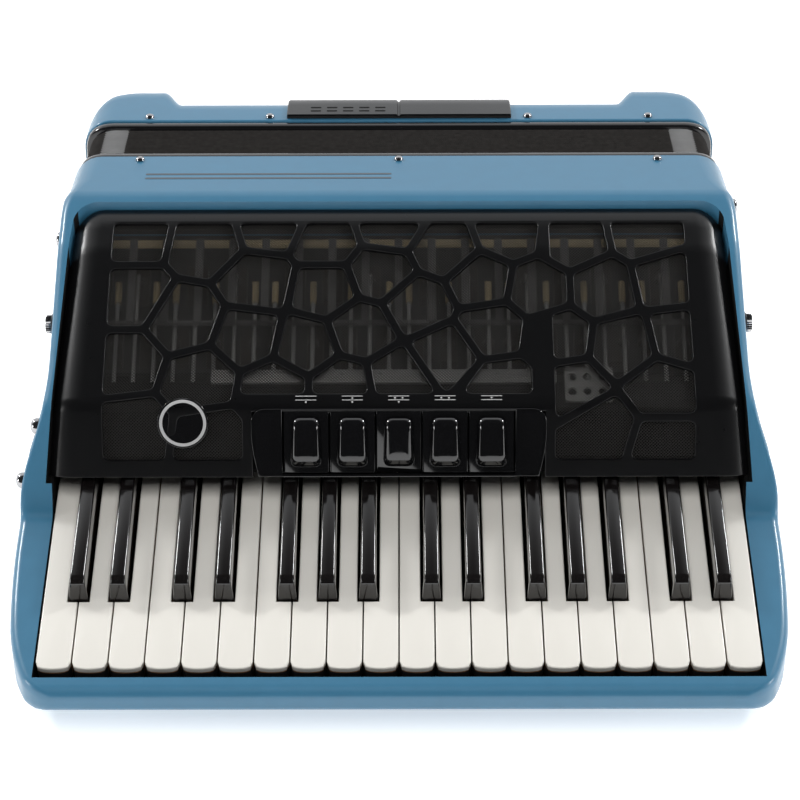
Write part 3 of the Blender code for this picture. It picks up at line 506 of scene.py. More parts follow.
def soundboard_point(u, y, depth):
    return (u, y, soundboard_z(y) + depth)


def pallet_span(x, width):
    limit = CASE_HALF - WALL - 0.0008
    return max(x - width / 2, -limit), min(x + width / 2, limit)


def add_lever(shape, x, span, pallet_y, rod, felt, tip=None):
    """The wire that rises behind the key, and the felted pallet that it lifts; a tip has a pale sleeve."""
    x = min(max(x, -LEVER_LIMIT), LEVER_LIMIT)
    line = bend([(0.0255, 0.070), (0.0255, soundboard_z(0.0255) + LEVER_LIFT),
                 (pallet_y, soundboard_z(pallet_y) + LEVER_LIFT),
                 (pallet_y, soundboard_z(pallet_y) + 0.003)],
                (0.006, 0.004), 4)
    shape.tube([(x, p.x, p.y) for p in line], 0.0012, 8, rod)
    if tip is not None:
        far = pallet_y + 0.0265
        shape.tube([soundboard_point(x, y, LEVER_LIFT) for y in (pallet_y - 0.004, far)], 0.0011, 8, rod)
        shape.tube([soundboard_point(x, y, LEVER_LIFT) for y in (far - 0.010, far + 0.0004)], 0.0019, 8, tip)
    reach = PALLET_LENGTH / 2
    outline = rounded(rectangle((span[0], pallet_y - reach), (span[1], pallet_y + reach)), 0.0012, 2)
    shape.slab(outline, one_edge(GAP, PALLET_T / 2, 0.0002, 1), soundboard_point, felt)
    shape.slab(inset(outline, 0.0004), one_edge(PALLET_T / 2, PALLET_T, 0.0006), soundboard_point, felt)
    top = soundboard_point(x, pallet_y, PALLET_T - 0.0002)
    shape.dome(top, (0, 0, 1), 0.0034, 0.002, 0.001, felt, 14, 3)


def add_tail(shape, x, width, slot):
    notch = ROD_R + 0.0004
    side = [(0.006, -KEY_DEPTH), (0.006, -0.0004), (TAIL_END, -0.0004), (TAIL_END, -KEY_DEPTH),
            (ROD_S - notch, -KEY_DEPTH), (ROD_S - notch, ROD_H + ROD_R + GAP),
            (ROD_S + notch, ROD_H + ROD_R + GAP), (ROD_S + notch, -KEY_DEPTH)]
    shape.slab(side, [(0, x - width / 2), (0, x + width / 2)], across_key, slot)


def black_between(i):
    if i < 0 or i >= len(WHITE_NAMES) - 1 or WHITE_NAMES[i] not in BLACK_AFTER:
        return None
    return (i + 1 - len(WHITE_NAMES) / 2) * WHITE_PITCH + BLACK_AFTER[WHITE_NAMES[i]]


def white_key(i):
    middle = (i + 0.5 - len(WHITE_NAMES) / 2) * WHITE_PITCH
    left = middle - (WHITE_PITCH - KEY_GAP) / 2
    right = middle + (WHITE_PITCH - KEY_GAP) / 2
    notch = BLACK_WIDTH / 2 + BLACK_CLEARANCE
    before, after = black_between(i - 1), black_between(i)
    tail_left = left if before is None else before + notch
    tail_right = right if after is None else after - notch
    shoulder = BLACK_LENGTH + BLACK_CLEARANCE
    outline = [(tail_left, -0.005)]
    if before is not None:
        outline += [(tail_left, shoulder), (left, shoulder)]
    lip = [(left, KEY_LENGTH - 0.0045)]
    reach, bow = (right - left) / 2 - 0.0012, 0.0010
    for k in range(9):
        a = k / 4 - 1
        lip.append((middle + a * reach, KEY_LENGTH - bow * a * a - (0.0004 if abs(a) == 1 else 0)))
    lip.append((right, KEY_LENGTH - 0.0045))
    outline += lip
    if after is not None:
        outline += [(right, shoulder), (tail_right, shoulder)]
    outline.append((tail_right, -0.005))
    shape = Shape()
    shape.slab(outline, one_edge(-IVORY_T, 0, 0.0008, 4), key_point, 0)
    shape.slab(inset(outline, 0.0001), [(0, -KEY_DEPTH), (0, -IVORY_T)], key_point, 1)
    shape.slab(lip, [(0.0008, -IVORY_LIP), (0, 0.0008 - IVORY_LIP), (0, -IVORY_T)], key_point, 0)
    # Painted shade: below the ivory lip the key's front face is satin black, standing for the dark shadow
    # gap in front of the keys.
    shape.slab(lip, [(0, -KEY_DEPTH), (0, -IVORY_LIP - 0.0001)], key_point, 4)
    x = (tail_left + tail_right) / 2
    add_tail(shape, x, tail_right - tail_left - 0.0006, 4)
    add_lever(shape, x, pallet_span(middle, WHITE_PALLET), WHITE_PALLET_Y, 2, 3, 5)
    name = f"white_key_{i + 1:02d}"
    obj = shape.object(f"{name}_shown", [IVORY, KEY_WOOD, LEVER, FELT, SATIN, TIP_WOOD])
    show(obj, name, "white_key_plastic", name)


def black_key(number, i):
    x = black_between(i)
    side = bend([(-0.014, -KEY_DEPTH), (BLACK_LENGTH, -KEY_DEPTH), (BLACK_LENGTH - 0.0003, 0.0),
                 (BLACK_LENGTH - 0.0032, 0.0098), (BLACK_LENGTH - 0.0062, BLACK_HEIGHT),
                 (-0.002, BLACK_HEIGHT), (-0.014, -0.0002)],
                (0.0005, 0.003, 0.0022, 0.004, 0.004), 3)
    taper = 1 - BLACK_TOP_WIDTH / BLACK_WIDTH

    def tapered(s, h, across):
        return key_point(x + across * (1 - taper * max(h, 0) / BLACK_HEIGHT), s, h)

    shape = Shape()
    outline = [tuple(p) for p in side]
    shape.slab(outline, both_edges(-BLACK_WIDTH / 2, BLACK_WIDTH / 2, 0.0011, 4), tapered, 0)
    add_tail(shape, x, BLACK_WIDTH - 0.0006, 0)
    add_lever(shape, x, pallet_span(x, BLACK_PALLET), BLACK_PALLET_Y, 2, 3)
    name = f"black_key_{number:02d}"
    obj = shape.object(f"{name}_shown", [EBONY, KEY_WOOD, LEVER, FELT])
    show(obj, name, "black_key_plastic", name)


def keyboard():
    number = 0
    for i in range(len(WHITE_NAMES)):
        white_key(i)
        if black_between(i) is not None:
            number += 1
            black_key(number, i)
    show_rod = Shape()
    _, y, z = key_point(0, ROD_S, ROD_H)
    half = len(WHITE_NAMES) * WHITE_PITCH / 2 + 0.0003
    show_rod.slab(disc(y, z, ROD_R, 24), both_edges(-half, half, 0.0003, 2), along_x)
    show(show_rod.object("key_rod_shown", [CHROME]), "treble", "bright_steel", "key_rod")


# ---------------------------------------------------------------- painted treble body
def key_level(y):
    return KEY_DATUM_Z + y * tan(KEY_SLOPE)


def bed_half(y):
    """The cheeks bow out along the keys and fair into the casing's sides behind them."""
    if y > 0:
        return CASE_HALF + (BED_HALF - CASE_HALF) * (1 - smooth_step(y / 0.060))
    bow = 0.2013 - (y + 0.040) ** 2
    return bow - 4.5 * max(0.0, -y - 0.090) ** 2


def quarter(into, radius):
    """How far a rounded edge of this radius has still to rise, this far in from its face."""
    if into >= radius:
        return 0.0
    return radius - sqrt(max(radius ** 2 - (radius - into) ** 2, 0.0))


RIM_LINE = bend([(-0.30, key_level(-0.30)), (RIM_FOOT, key_level(RIM_FOOT)), RIM[1], RIM[0],
                 (STRIP_Y, FRONT_Z), (0.30, FRONT_Z)], (0.010, 0.012, 0.020, 0.004), 8)


def rim_height(y):
    for a, b in zip(RIM_LINE, RIM_LINE[1:]):
        if y <= b.x:
            return a.y + (b.y - a.y) * (y - a.x) / (b.x - a.x)
    return RIM_LINE[-1].y


def wall_half(y, z):
    foot = key_level(min(y, RIM_FOOT)) + 0.004
    fade = 1 - smooth_step((z - foot) / 0.062) if y > RIM_FOOT else 1.0
    return CASE_HALF + (bed_half(y) - CASE_HALF) * fade - quarter(y + BED_FRONT, 0.011)


def body_section(y):
    into = y + BED_FRONT
    top = rim_height(y) - quarter(into, 0.005)
    under = BED_UNDER * min(1.0, max(0.0, 0.02 - y) / 0.15) + quarter(into, 0.006)
    radius = min(0.0045 + 0.0125 * smooth_step((y - 0.098) / 0.045), (top - under) * 0.42)
    foot = min(0.004, (top - under) * 0.3)
    low, high = under + foot, top - radius
    side = arc((wall_half(y, low) - foot, low), foot, -1, 0, 3)
    for k in range(1, 8):
        z = low + (high - low) * k / 8
        side.append((wall_half(y, z), z))
    side += arc((wall_half(y, high) - radius, high), radius, 0, 1, 8)
    return [(x, y, z) for x, z in side] + [(-x, y, z) for x, z in reversed(side)]


def cover_seat():
    """The room under the cover, as a cutter: a rounded opening whose floor follows the slope."""
    stops = (SEAT_FRONT, -0.0180, -0.003, 0.036, 0.079, LIP_Y)

    def floor(y):
        return max(key_level(y) + 0.001, profile_at_y(y) - (0.0165 if y < 0 else 0.0115))

    side = [(cover_half_at(y) + 0.0008, y) for y in stops]
    corner, radius = side.pop(), 0.0135
    side += arc((corner[0] - radius, corner[1] - radius), radius, 0, 1, 8)
    outline = side + [(-x, y) for x, y in reversed(side)]
    guides = [[(-0.2, y), (0.2, y)] for y in stops[1:-1]]
    shape = Shape()
    shape.plate(outline, [], guides, 1.0, 0.0, lambda x, y, depth: (x, y, 0.3 if depth > -0.5 else floor(y)))
    return shape


def painted_treble_body():
    front = [-BED_FRONT + d for d in (0, 0.0002, 0.0006, 0.0012, 0.002, 0.003, 0.004, 0.005)]
    front += [-BED_FRONT + d for d in (0.007, 0.009, 0.011)]
    plain = [-0.118 + 0.006 * k for k in range(14)]
    steep = [-0.034 + 0.0015 * k for k in range(26)]
    upper = [0.008 + 0.006 * k for k in range(12)] + [0.080 + 0.003 * k for k in range(13)]
    stations = sorted(set(round(y, 5) for y in front + plain + steep + upper + [0.130, CASE_Y[1]]))
    shape = Shape()
    shape.loft([body_section(y) for y in stations])
    obj = shape.object("painted_treble_body", [PAINT])
    keys = len(WHITE_NAMES) * WHITE_PITCH / 2 + 0.0006
    step_s, step_h = TRAY_STEP
    tray = [(TRAY_END, TRAY_FLOOR), (TRAY_END, 0.060), (step_s, 0.060), (step_s, step_h),
            (-0.036, step_h), (-0.036, TRAY_FLOOR)]
    cut(obj, prism(tray, -keys, keys, across_key), LINING)
    cut(obj, cover_seat(), LINING)
    inner = CASE_HALF - WALL
    hollow = [(0.042, SKIN), (0.170, SKIN), (0.170, FRONT_Z - SKIN), (0.115, FRONT_Z - SKIN),
              (0.098, 0.163), (0.036, 0.128), (0.018, 0.115), (0.018, 0.085), (0.042, 0.085)]
    cut(obj, prism(hollow, -inner, inner, along_x), LINING)
    cut(obj, prism(rectangle((-0.168, 0.020), (0.168, 0.100)), 0.104, 0.21, along_z))
    for face in obj.data.polygons:
        above = face.normal.y < -0.6 and face.center.z > 0.160
        outside = abs(face.center.x) > inner + 0.0002
        beside = outside and abs(face.normal.x) > 0.7 and face.center.y > SEAT_FRONT
        if above or beside:
            face.material_index = 0
    sharpen(obj)
    show(obj, "treble", "blue_paint", "treble_casing", "fingerboard")


def front_strip_marks():
    """Two plain stripes along the front strip."""
    shape = Shape()
    for y, half in ((0.1305, 0.0009), (0.1355, 0.0009)):
        outline = rounded(rectangle((-0.142, y - half), (-0.004, y + half)), half * 0.9, 3)
        shape.slab(outline, [(0, FRONT_Z - 0.0002), (0, FRONT_Z + 0.00012)], along_z)
    show(shape.object("front_strip_stripes", [STRIPE]), "treble", "black_satin_plastic")


# ---------------------------------------------------------------- grille cover
def cover_line():
    """The cover's side view as (w, y, z), with w = 0 at the lower bend's corner."""
    line = bend(COVER_PROFILE, COVER_BEND_R, 4)
    lengths = [0.0]
    for a, b in zip(line, line[1:]):
        lengths.append(lengths[-1] - (b - a).length)
    corner = Vector(COVER_PROFILE[2])
    nearest = min(range(len(line)), key=lambda i: (line[i] - corner).length)
    return [(length - lengths[nearest], p.x, p.y) for length, p in zip(lengths, line)]


COVER_LINE = cover_line()


def profile(w):
    """Place and outward normal on the cover's side view, the normal eased round the bends."""
    for i, (lower, upper) in enumerate(zip(COVER_LINE[1:], COVER_LINE)):
        if w >= lower[0] or i == len(COVER_LINE) - 2:
            t = (w - upper[0]) / (lower[0] - upper[0])
            here = Vector((upper[1] + (lower[1] - upper[1]) * t, upper[2] + (lower[2] - upper[2]) * t))
            along = Vector((upper[1] - lower[1], upper[2] - lower[2])).normalized()
            return here, Vector((-along.y, along.x))
    return None


def profile_at_y(y):
    for (_, y0, z0), (_, y1, z1) in zip(COVER_LINE, COVER_LINE[1:]):
        if y0 >= y >= y1:
            return z0 + (z1 - z0) * (y - y0) / (y1 - y0)
    return COVER_LINE[-1][2] if y < 0 else COVER_LINE[0][2]


def cover_half_at(y):
    for (y0, half0), (y1, half1) in zip(COVER_HALF, COVER_HALF[1:]):
        if y >= y1:
            break
    return half1 + (half0 - half1) * (y - y1) / (y0 - y1)


def cover_core(y):
    """Half the flat part's width at y, inside the rounded side edges."""
    return cover_half_at(y) - COVER_CORNER + COVER_EDGE_R * (1 - sin(COVER_LAST_TURN))


def on_cover(u, w, depth):
    """A point on the cover; past its flat part it turns down over the rounded side and top edges."""
    here, _ = profile(w)
    side = 1 if u > 0 else -1
    core = Vector((cover_core(here.x), COVER_LINE[0][0] - COVER_CORNER))
    flat = Vector((min(abs(u), core.x), min(w, core.y)))
    out = Vector((abs(u), w)) - flat
    straight = COVER_CORNER - COVER_EDGE_R
    turn = max(0.0, out.length - straight) / COVER_EDGE_R
    lift = depth * cos(turn)
    if out.length > 1e-9:
        lift -= (1 - cos(turn)) * (COVER_EDGE_DROP - COVER_TOP_RISE * (out.y / out.length) ** 2)
        reach = min(out.length, straight) + (COVER_EDGE_R + depth) * sin(turn)
        flat += out.normalized() * reach
    here, normal = profile(flat.y)
    return (side * flat.x, here.x + normal.x * lift, here.y + normal.y * lift)


def cover_contour(turn, low, steps=8):
    """(u, w) along the cover's edge, up the left side, over the top and down the right side."""
    radius = COVER_CORNER - COVER_EDGE_R * (1 - turn)
    top = COVER_LINE[0][0] - COVER_CORNER
    right = []
    for w in [w for w, _, _ in COVER_LINE if low <= w < top] + [top]:
        right.append((cover_core(profile(w)[0].x) + radius, w))
    right.sort(key=lambda point: point[1])
    right += arc((cover_core(profile(top)[0].x), top), radius, 0, 1, steps)[1:]
    return [(-u, w) for u, w in right] + right[::-1]


def clip(outline, point, away):
    """What is left of a convex outline when everything beyond a line is cut off."""
    kept = []
    for a, b in zip(outline, outline[1:] + outline[:1]):
        past_a, past_b = (a - point).dot(away), (b - point).dot(away)
        if past_a <= 0:
            kept.append(a)
        if past_a * past_b < 0:
            kept.append(a + (b - a) * past_a / (past_a - past_b))
    return kept


def lattice_field(seed):
    """The ground open to a seed: above the register bay, or beside it for a low seed."""
    left, right, low = -LATTICE_SIDE, LATTICE_SIDE, LATTICE_LOW
    beside = REGISTER_BAY + BAY_MARGIN
    if abs(seed.x) < beside:
        low = BAY_MARGIN
    elif seed.x > 0:
        left = beside
    else:
        right = -beside
    corners = [(left, low), (right, low), (right, LATTICE_TOP), (left, LATTICE_TOP)]
    return [Vector(corner) for corner in corners]


def grille_openings():
    """The cells between the lattice's bars."""
    seeds = [Vector(seed) / 1000 for seed in LATTICE_SEEDS]
    cells = []
    for seed in seeds:
        cell = lattice_field(seed)
        for other in seeds:
            if other is not seed:
                away = (other - seed).normalized()
                cell = clip(cell, (seed + other) / 2 - away * LATTICE_BAR / 2, away)
        corners = [b for a, b in zip(cell[-1:] + cell, cell) if (b - a).length > SHORTEST_EDGE]
        cells.append(rounded(corners, LATTICE_CORNER, 6))
    return cells


def grille_cover():
    low = COVER_LINE[-1][0]
    bay, bay_top = REGISTER_BAY + 0.0005, -0.004
    guides = [[(-0.2, w), (0.2, w)] for w, _, _ in COVER_LINE[1:-1]]
    guides += [cover_contour(0.16 * k, low) for k in range(9)]
    outline = cover_contour(COVER_LAST_TURN, low)
    outline += [(bay, low), (bay, bay_top), (-bay, bay_top), (-bay, low)]
    shape = Shape()
    shape.plate(outline, grille_openings(), guides, COVER_T, 0.0005, on_cover)
    obj = shape.object("moulded_grille_cover", [COVER_BLACK], 40)
    weigh = obj.modifiers.new("weighted_normals", "WEIGHTED_NORMAL")
    weigh.keep_sharp = True
    show(obj, "treble", "black_gloss_plastic", "grille_cover")


def wire_spans(u0, slant, field, bay):
    """Stretches (w from, w to) of the line u = u0 + slant * w inside the screen and off the bay."""
    side, low, top = field
    bay_side, bay_top = bay
    ends = sorted(((-side - u0) * slant, (side - u0) * slant))
    start, end = max(low, ends[0]), min(top, ends[1])
    crossing = sorted(((-bay_side - u0) * slant, (bay_side - u0) * slant))
    spans = []
    hole = (crossing[0], min(bay_top, crossing[1]))
    if hole[1] <= max(start, hole[0]) or hole[0] >= end:
        spans.append((start, end))
    else:
        spans += [(start, min(end, hole[0])), (max(start, hole[1]), end)]
    return [(a, b) for a, b in spans if b - a > 0.0015]


def grille_mesh():
    """A woven screen: two layers of fine wires at 45 degrees."""
    pitch, radius = 0.0017, 0.00026
    field = (0.162, -0.034, COVER_LINE[0][0] - 0.011)
    bay = (REGISTER_BAY + 0.004, 0.003)
    shape = Shape()
    rows = [w for w, _, _ in COVER_LINE]
    for slant, depth in ((1, -COVER_T - 0.0004), (-1, -COVER_T - 0.0007)):
        count = int((field[0] + field[2]) * 2 / pitch)
        for k in range(-count // 2, count // 2):
            u0 = k * pitch
            for start, end in wire_spans(u0, slant, field, bay):
                stops = [start] + [w for w in reversed(rows) if start < w < end] + [end]
                shape.tube([on_cover(u0 + slant * w, w, depth) for w in stops], radius, 4)
    obj = shape.object("woven_grille_screen", [SCREEN], weld=False)
    show(obj, "treble", "black_mesh", "grille_mesh")


# ---------------------------------------------------------------- registers
def on_bay(u, w, depth):
    """The register bay's flat face, below the cover's bend."""
    here, normal = profile(-0.030)
    reach = w + 0.030
    return (u, here.x + normal.y * reach + normal.x * depth, here.y - normal.x * reach + normal.y * depth)


def bay_outline(low):
    """The bay's face: its upper outer corners are round, and it draws in a little at its foot."""
    wide, top, radius = REGISTER_BAY + 0.0012, PLATE_TOP + 0.0012, 0.007
    side = [(wide - 0.0035, low), (wide - 0.0010, low + 0.012), (wide, low + 0.020)]
    side += arc((wide - radius, top - radius), radius, 0, 1, 8)
    return side + [(-u, w) for u, w in reversed(side)]


def register_housing():
    low = COVER_LINE[-1][0] + 0.0005
    wide = REGISTERS * REGISTER_PITCH / 2 + 0.0004
    top, bottom = PLATE_TOP + 0.0004, REGISTER_TOP - REGISTER_LENGTH - 0.0004
    outline = bay_outline(low)
    shape = Shape()
    shape.plate(outline, [rectangle((-wide, bottom), (wide, top))], [], 0.005, 0.0004,
                lambda u, w, depth: on_bay(u, w, depth + 0.001))
    for side in (-1, 1):
        flare = []
        for k in range(7):
            t = k / 6
            flare.append((side * (wide + 0.001 + 0.013 * t), 0.0008 + 0.0042 * sin(t * pi / 2) ** 2))
        sections = []
        for w, scale in ((bottom + 0.0005, 0.86), (bottom + 0.006, 0.93), (-0.024, 0.98), (-0.014, 1.0),
                         (top - 0.0050, 0.98), (top - 0.0022, 0.94), (top - 0.0008, 0.90)):
            near = side * (wide + 0.001)
            rise = [on_bay(near + (u - near) * scale, w, 0.0008 + (d - 0.0008) * scale) for u, d in flare]
            back = [on_bay(near + (u - near) * scale, w, 0.0002) for u, _ in reversed(flare)]
            sections.append(rise + back)
        shape.loft(sections)
    sill = rounded(rectangle((-0.0005, low + 0.0002), (0.0028, bottom - 0.0002)), 0.0006, 2)
    shape.slab(sill, both_edges(-wide, wide, 0.0006, 2), lambda d, w, u: on_bay(u, w, d))
    show(shape.object("register_bay", [GLOSS]), "treble", "black_gloss_plastic", "register_housing")


def register_switch(i):
    middle = (i - (REGISTERS - 1) / 2) * REGISTER_PITCH
    half = REGISTER_PITCH / 2 - GAP
    low = REGISTER_TOP - REGISTER_LENGTH
    shape = Shape()
    plate = rounded(rectangle((middle - half, low), (middle + half, PLATE_TOP)), 0.0008, 3)
    shape.slab(plate, one_edge(-0.0025, 0.0, 0.0005), on_bay)
    wide, tall, proud = TABLET
    centre = (low + PLATE_TOP) / 2 + 0.0004
    foot, head = centre - tall / 2, centre + tall / 2
    tablet = rounded([(middle - wide / 2, foot), (middle + wide / 2, foot),
                      (middle + wide * 0.44, head), (middle - wide * 0.44, head)], 0.0045, 6)
    middle_point = Vector((middle, centre))
    pillow = [[on_bay(*p, -0.0005) for p in tablet]]
    for scale in (1, 0.985, 0.95, 0.90, 0.83, 0.72, 0.55, 0.35, 0.12):
        level = 0.0004 + proud * (1 - scale ** 5) ** 0.6
        pillow.append([on_bay(*middle_point.lerp(Vector(p), scale), level) for p in tablet])
    shape.loft(pillow)
    if i == PRESSED:
        shape.turn(on_bay(0, REGISTER_TOP, -0.0025), PRESS_ANGLE)
    name = f"register_switch_{i + 1}"
    show(shape.object(f"{name}_shown", [GLOSS], 40), name, "black_gloss_plastic", name)


def register_marks():
    """The usual register signs: two bars, with a dot for each reed that sounds."""
    dots = [(0, 0, 1), (0, 1, 1), (0, 2, 1), (0, 2, 0), (0, 1, 0)]
    shape = Shape()
    base, spacing, lift = 0.0022, 0.0022, 0.00012
    half, thin = 0.0055, 0.00019
    for i, reeds in enumerate(dots):
        middle = (i - (REGISTERS - 1) / 2) * REGISTER_PITCH
        for bar in (0, 1):
            w = base + spacing * bar
            shape.slab(rectangle((middle - half, w - thin), (middle + half, w + thin)),
                       [(0, -0.0002), (0, lift)], on_cover)
        for row, number in enumerate(reeds):
            w = base + spacing * (1.5 - row)
            for k in range(number):
                u = middle + (k - (number - 1) / 2) * 0.004
                shape.slab(disc(u, w, 0.00052, 10), [(0, -0.0002), (0, lift)], on_cover)
    show(shape.object("register_signs", [PRINT]), "treble", "black_satin_plastic")


def cover_ring():
    """A plain ring on the cover's lower left."""
    shape = Shape()
    centre, outer, inner = (-0.1136, -0.010), 0.0124, 0.0108
    rings = []
    for k in range(48):
        a = 2 * pi * k / 48
        rings.append([on_cover(centre[0] + r * cos(a), centre[1] + r * sin(a), d)
                      for r, d in ((outer, -0.0003), (outer, 0.0004), (inner, 0.0004), (inner, -0.0003))])
    rings.append(rings[0])
    shape.loft(rings, caps=False)
    boss = disc(*centre, outer + 0.0012, 48)
    shape.slab(boss, one_edge(-COVER_T, 0.0002, 0.0005), on_cover, 1)
    show(shape.object("cover_ring", [PRINT, GLOSS]), "treble", "bright_steel")


# ---------------------------------------------------------------- action behind the screen
def action_rails():
    """A pale ledge, a cross bar, the bars between them and the slide rail, seen through the screen."""
    shape = Shape()
    for i in range(len(WHITE_NAMES) + 1):
        x = (i - len(WHITE_NAMES) / 2) * WHITE_PITCH
        if abs(x) < CASE_HALF - WALL - 0.005:
            bar = rounded(rectangle((x - 0.0022, 0.0570), (x + 0.0022, 0.1000)), 0.0008, 2)
            shape.slab(bar, one_edge(0.0164, 0.0180, 0.0005), soundboard_point, 1)
    limit = CASE_HALF - WALL - 0.002
    for y, half, slot in ((0.0578, 0.0009, 1), (0.0985, 0.0016, 0)):
        rail = rounded(rectangle((-limit, y - half), (limit, y + half)), 0.0008, 2)
        shape.slab(rail, one_edge(0.0150, 0.0167, 0.0005), soundboard_point, slot)
    show(shape.object("action_rails", [TIP_WOOD, GREY_BAR]), "treble", "bright_steel")
    rail = Shape()
    strip = rounded(rectangle((-0.100, 0.0160), (0.084, 0.0240)), 0.0012, 3)
    rail.slab(strip, one_edge(-0.0088, -0.0070, 0.0004), on_cover)
    for k in range(9):
        stud = on_cover(-0.092 + k * 0.0207, 0.022, -0.0071)
        rail.dome(stud, (0, -0.5, 0.86), 0.0014, 0.0008, 0.0004, 0, 12, 3)
    holes = [disc(0.100 + 0.008 * column, 0.0105 + 0.0085 * row, 0.0022, 14)
             for row in range(2) for column in (-1, 0, 1)]
    corner = rounded(rectangle((0.088, 0.0045), (0.114, 0.0250)), 0.002, 3)
    rail.plate(corner, holes, [], 0.0015, 0.0003, lambda u, w, d: on_cover(u, w, d - 0.0066))
    show(rail.object("slide_rail_and_plate", [LEVER]), "treble", "bright_steel")


# ---------------------------------------------------------------- bellows
def frame_ring(name, y, body, node):
    """A rounded, lacquered frame with an open middle."""
    shape = Shape()
    outer = rounded(rectangle((-FRAME_HALF, 0.0005), (FRAME_HALF, FRONT_Z - 0.0005)), CORNER_R, 10)
    wide = FRAME_HALF - 0.020
    hole = rounded(rectangle((-wide, 0.0205), (wide, FRONT_Z - 0.0205)), 0.006, 4)
    edge_profile = [(0.0016, 0.0001), (0.0005, 0.0006), (0.0, 0.0016)]
    rings = [(i, y + d) for i, d in edge_profile] + [(i, y + FRAME_T - d) for i, d in reversed(edge_profile)]
    verts = [[along_y(a, b, d) for a, b in inset(outer, i)] for i, d in rings]
    shape.loft(verts, caps=False)
    core = [(hole, rings[-1][1]), (hole, rings[0][1])]
    shape.loft([[along_y(a, b, d) for a, b in loop] for loop, d in core], caps=False)
    for (i, d), flip in ((rings[0], False), (rings[-1], True)):
        edge = inset(outer, i)
        flat, _, faces, _, _, sources = delaunay_2d_cdt(
            [Vector(p) for p in anticlockwise(edge) + anticlockwise(hole)], [],
            [list(range(len(edge))), list(range(len(edge), len(edge) + len(hole)))], 0, 1e-7)
        kept = [f[::-1] if flip else f for f, source in zip(faces, sources) if source == [0]]
        shape.add([along_y(p.x, p.y, d) for p in flat], kept)
    show(shape.object(name, [FRAME_BLACK]), body, "black_frame", node)


def bellows():
    """Folded card, covered with cloth, with an open middle."""
    depth, low = FOLD_DEPTH, BELLOWS_LOW
    high = FRONT_Z - low
    steps = 4 * FOLDS
    y0, y1 = BELLOWS_Y
    sections = []
    for k in range(steps + 1):
        phase = k % 4
        sink = depth * (1, FOLD_SHOULDER, 0, FOLD_SHOULDER)[phase]
        y = y0 + (y1 - y0) * k / steps
        ring = rectangle((-BELLOWS_HALF + sink, low + sink), (BELLOWS_HALF - sink, high - sink))
        sections.append([(x, y, z) for x, z in rounded(ring, CORNER_R - 0.4 * sink, 8)])
    card = 0.015
    wide = BELLOWS_HALF - card
    hole = rounded(rectangle((-wide, low + card), (wide, high - card)), 0.006, 8)
    inner = [[(x, y, z) for x, z in hole] for y in (y1, y0)]
    shape = Shape()
    shape.loft(sections + inner + [sections[0]], caps=False)
    obj = shape.object("folded_bellows", [CARD], 25)
    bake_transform(obj)
    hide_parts("bellows")


def bellows_corners():
    """The metal corner plates, shaped over the bellows' folds."""
    shape = Shape()
    depth, low = FOLD_DEPTH, BELLOWS_LOW
    high = FRONT_Z - low
    y0, y1 = BELLOWS_Y
    pitch = (y1 - y0) / FOLDS
    lift, reach = 0.0004, 0.007
    for k in range(FOLDS):
        middle = y0 + pitch * (k + 0.5)
        for sx in (-1, 1):
            for sz in (-1, 1):
                cz = (low + high) / 2
                rows = []
                for y, sink in ((middle - pitch * 0.40, depth * 0.50), (middle - pitch * 0.25, depth * 0.18),
                                (middle, -lift), (middle + pitch * 0.25, depth * 0.18),
                                (middle + pitch * 0.40, depth * 0.50)):
                    half_x, half_z = BELLOWS_HALF - sink, (high - low) / 2 - sink
                    r = CORNER_R - 0.4 * sink
                    taper = reach - 0.35 * abs(sink)
                    line = [(half_x - r - taper, half_z)]
                    line += [(half_x - r + r * sin(a), half_z - r + r * cos(a))
                             for a in (pi / 2 * j / 8 for j in range(9))]
                    line.append((half_x, half_z - r - taper))
                    outer = [(sx * x, y, cz + sz * z) for x, z in line]
                    inner = [(sx * (x - 0.0008), y, cz + sz * (z - 0.0008)) for x, z in reversed(line)]
                    rows.append(outer + inner)
                shape.loft(rows)
    obj = shape.object("bellows_corner_plates", [CORNER], 25)
    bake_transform(obj)


def bellows_strap(name, side):
    """A leather tab, stitched along both edges, with a chrome stud at each end."""
    outline = rounded(rectangle((0.120, 0.035), (0.234, 0.055)), 0.008, 8)
    low, high = sorted((side * (CASE_HALF + GAP), side * (CASE_HALF + 0.0025)))
    shape = Shape()
    shape.slab(outline, both_edges(low, high, 0.0007, 2), along_x, 0)
    face = side * (CASE_HALF + 0.0024)
    for k in range(40):
        for z in (0.0375, 0.0525):
            y = 0.127 + k * 0.0025
            shape.slab(rounded(rectangle((y, z - 0.0003), (y + 0.0016, z + 0.0003)), 0.0002, 1),
                       [(0, face - side * 0.0003), (0.0001, face + side * 0.0003)], along_x, 2)
    for y in (0.130, 0.224):
        shape.dome((face, y, 0.045), (side, 0, 0), 0.0055, 0.0018, 0.0004, 1, 24)
    show(shape.object(f"{name}_shown", [LEATHER, CHROME, THREAD]), name, "black_leather", name)


# ---------------------------------------------------------------- bass side
def corner_drop(x, radius):
    return quarter(max(CASE_HALF - abs(x), 0.0), radius)


def bass_end(x):
    """Outermost Y of the bass casing at x, and the radius of its front edge there."""
    horn = smooth_step((abs(x) - HORN_X[0]) / (HORN_X[1] - HORN_X[0]))
    end = BASS_MID_Y + (BASS_HORN_Y - BASS_MID_Y) * horn
    radius = BASS_MID_R + (BASS_HORN_R - BASS_MID_R) * horn
    return end - quarter(max(CASE_HALF - abs(x), 0.0), 0.030), radius


def bass_section(x, steps=14):
    end, radius = bass_end(x)
    top = FRONT_Z - corner_drop(x, CORNER_R)
    back, near = 0.010, 0.0015
    points = [(BASS_Y + 0.0005, 0.0)]
    points += arc((end - back, back), back, -1, 0, 5)
    points += arc((end - radius, top - radius), radius, 0, 1, steps)
    points += arc((BASS_Y + near, top - near), near, 1, 2, 3)
    return [(x, y, z) for y, z in points]


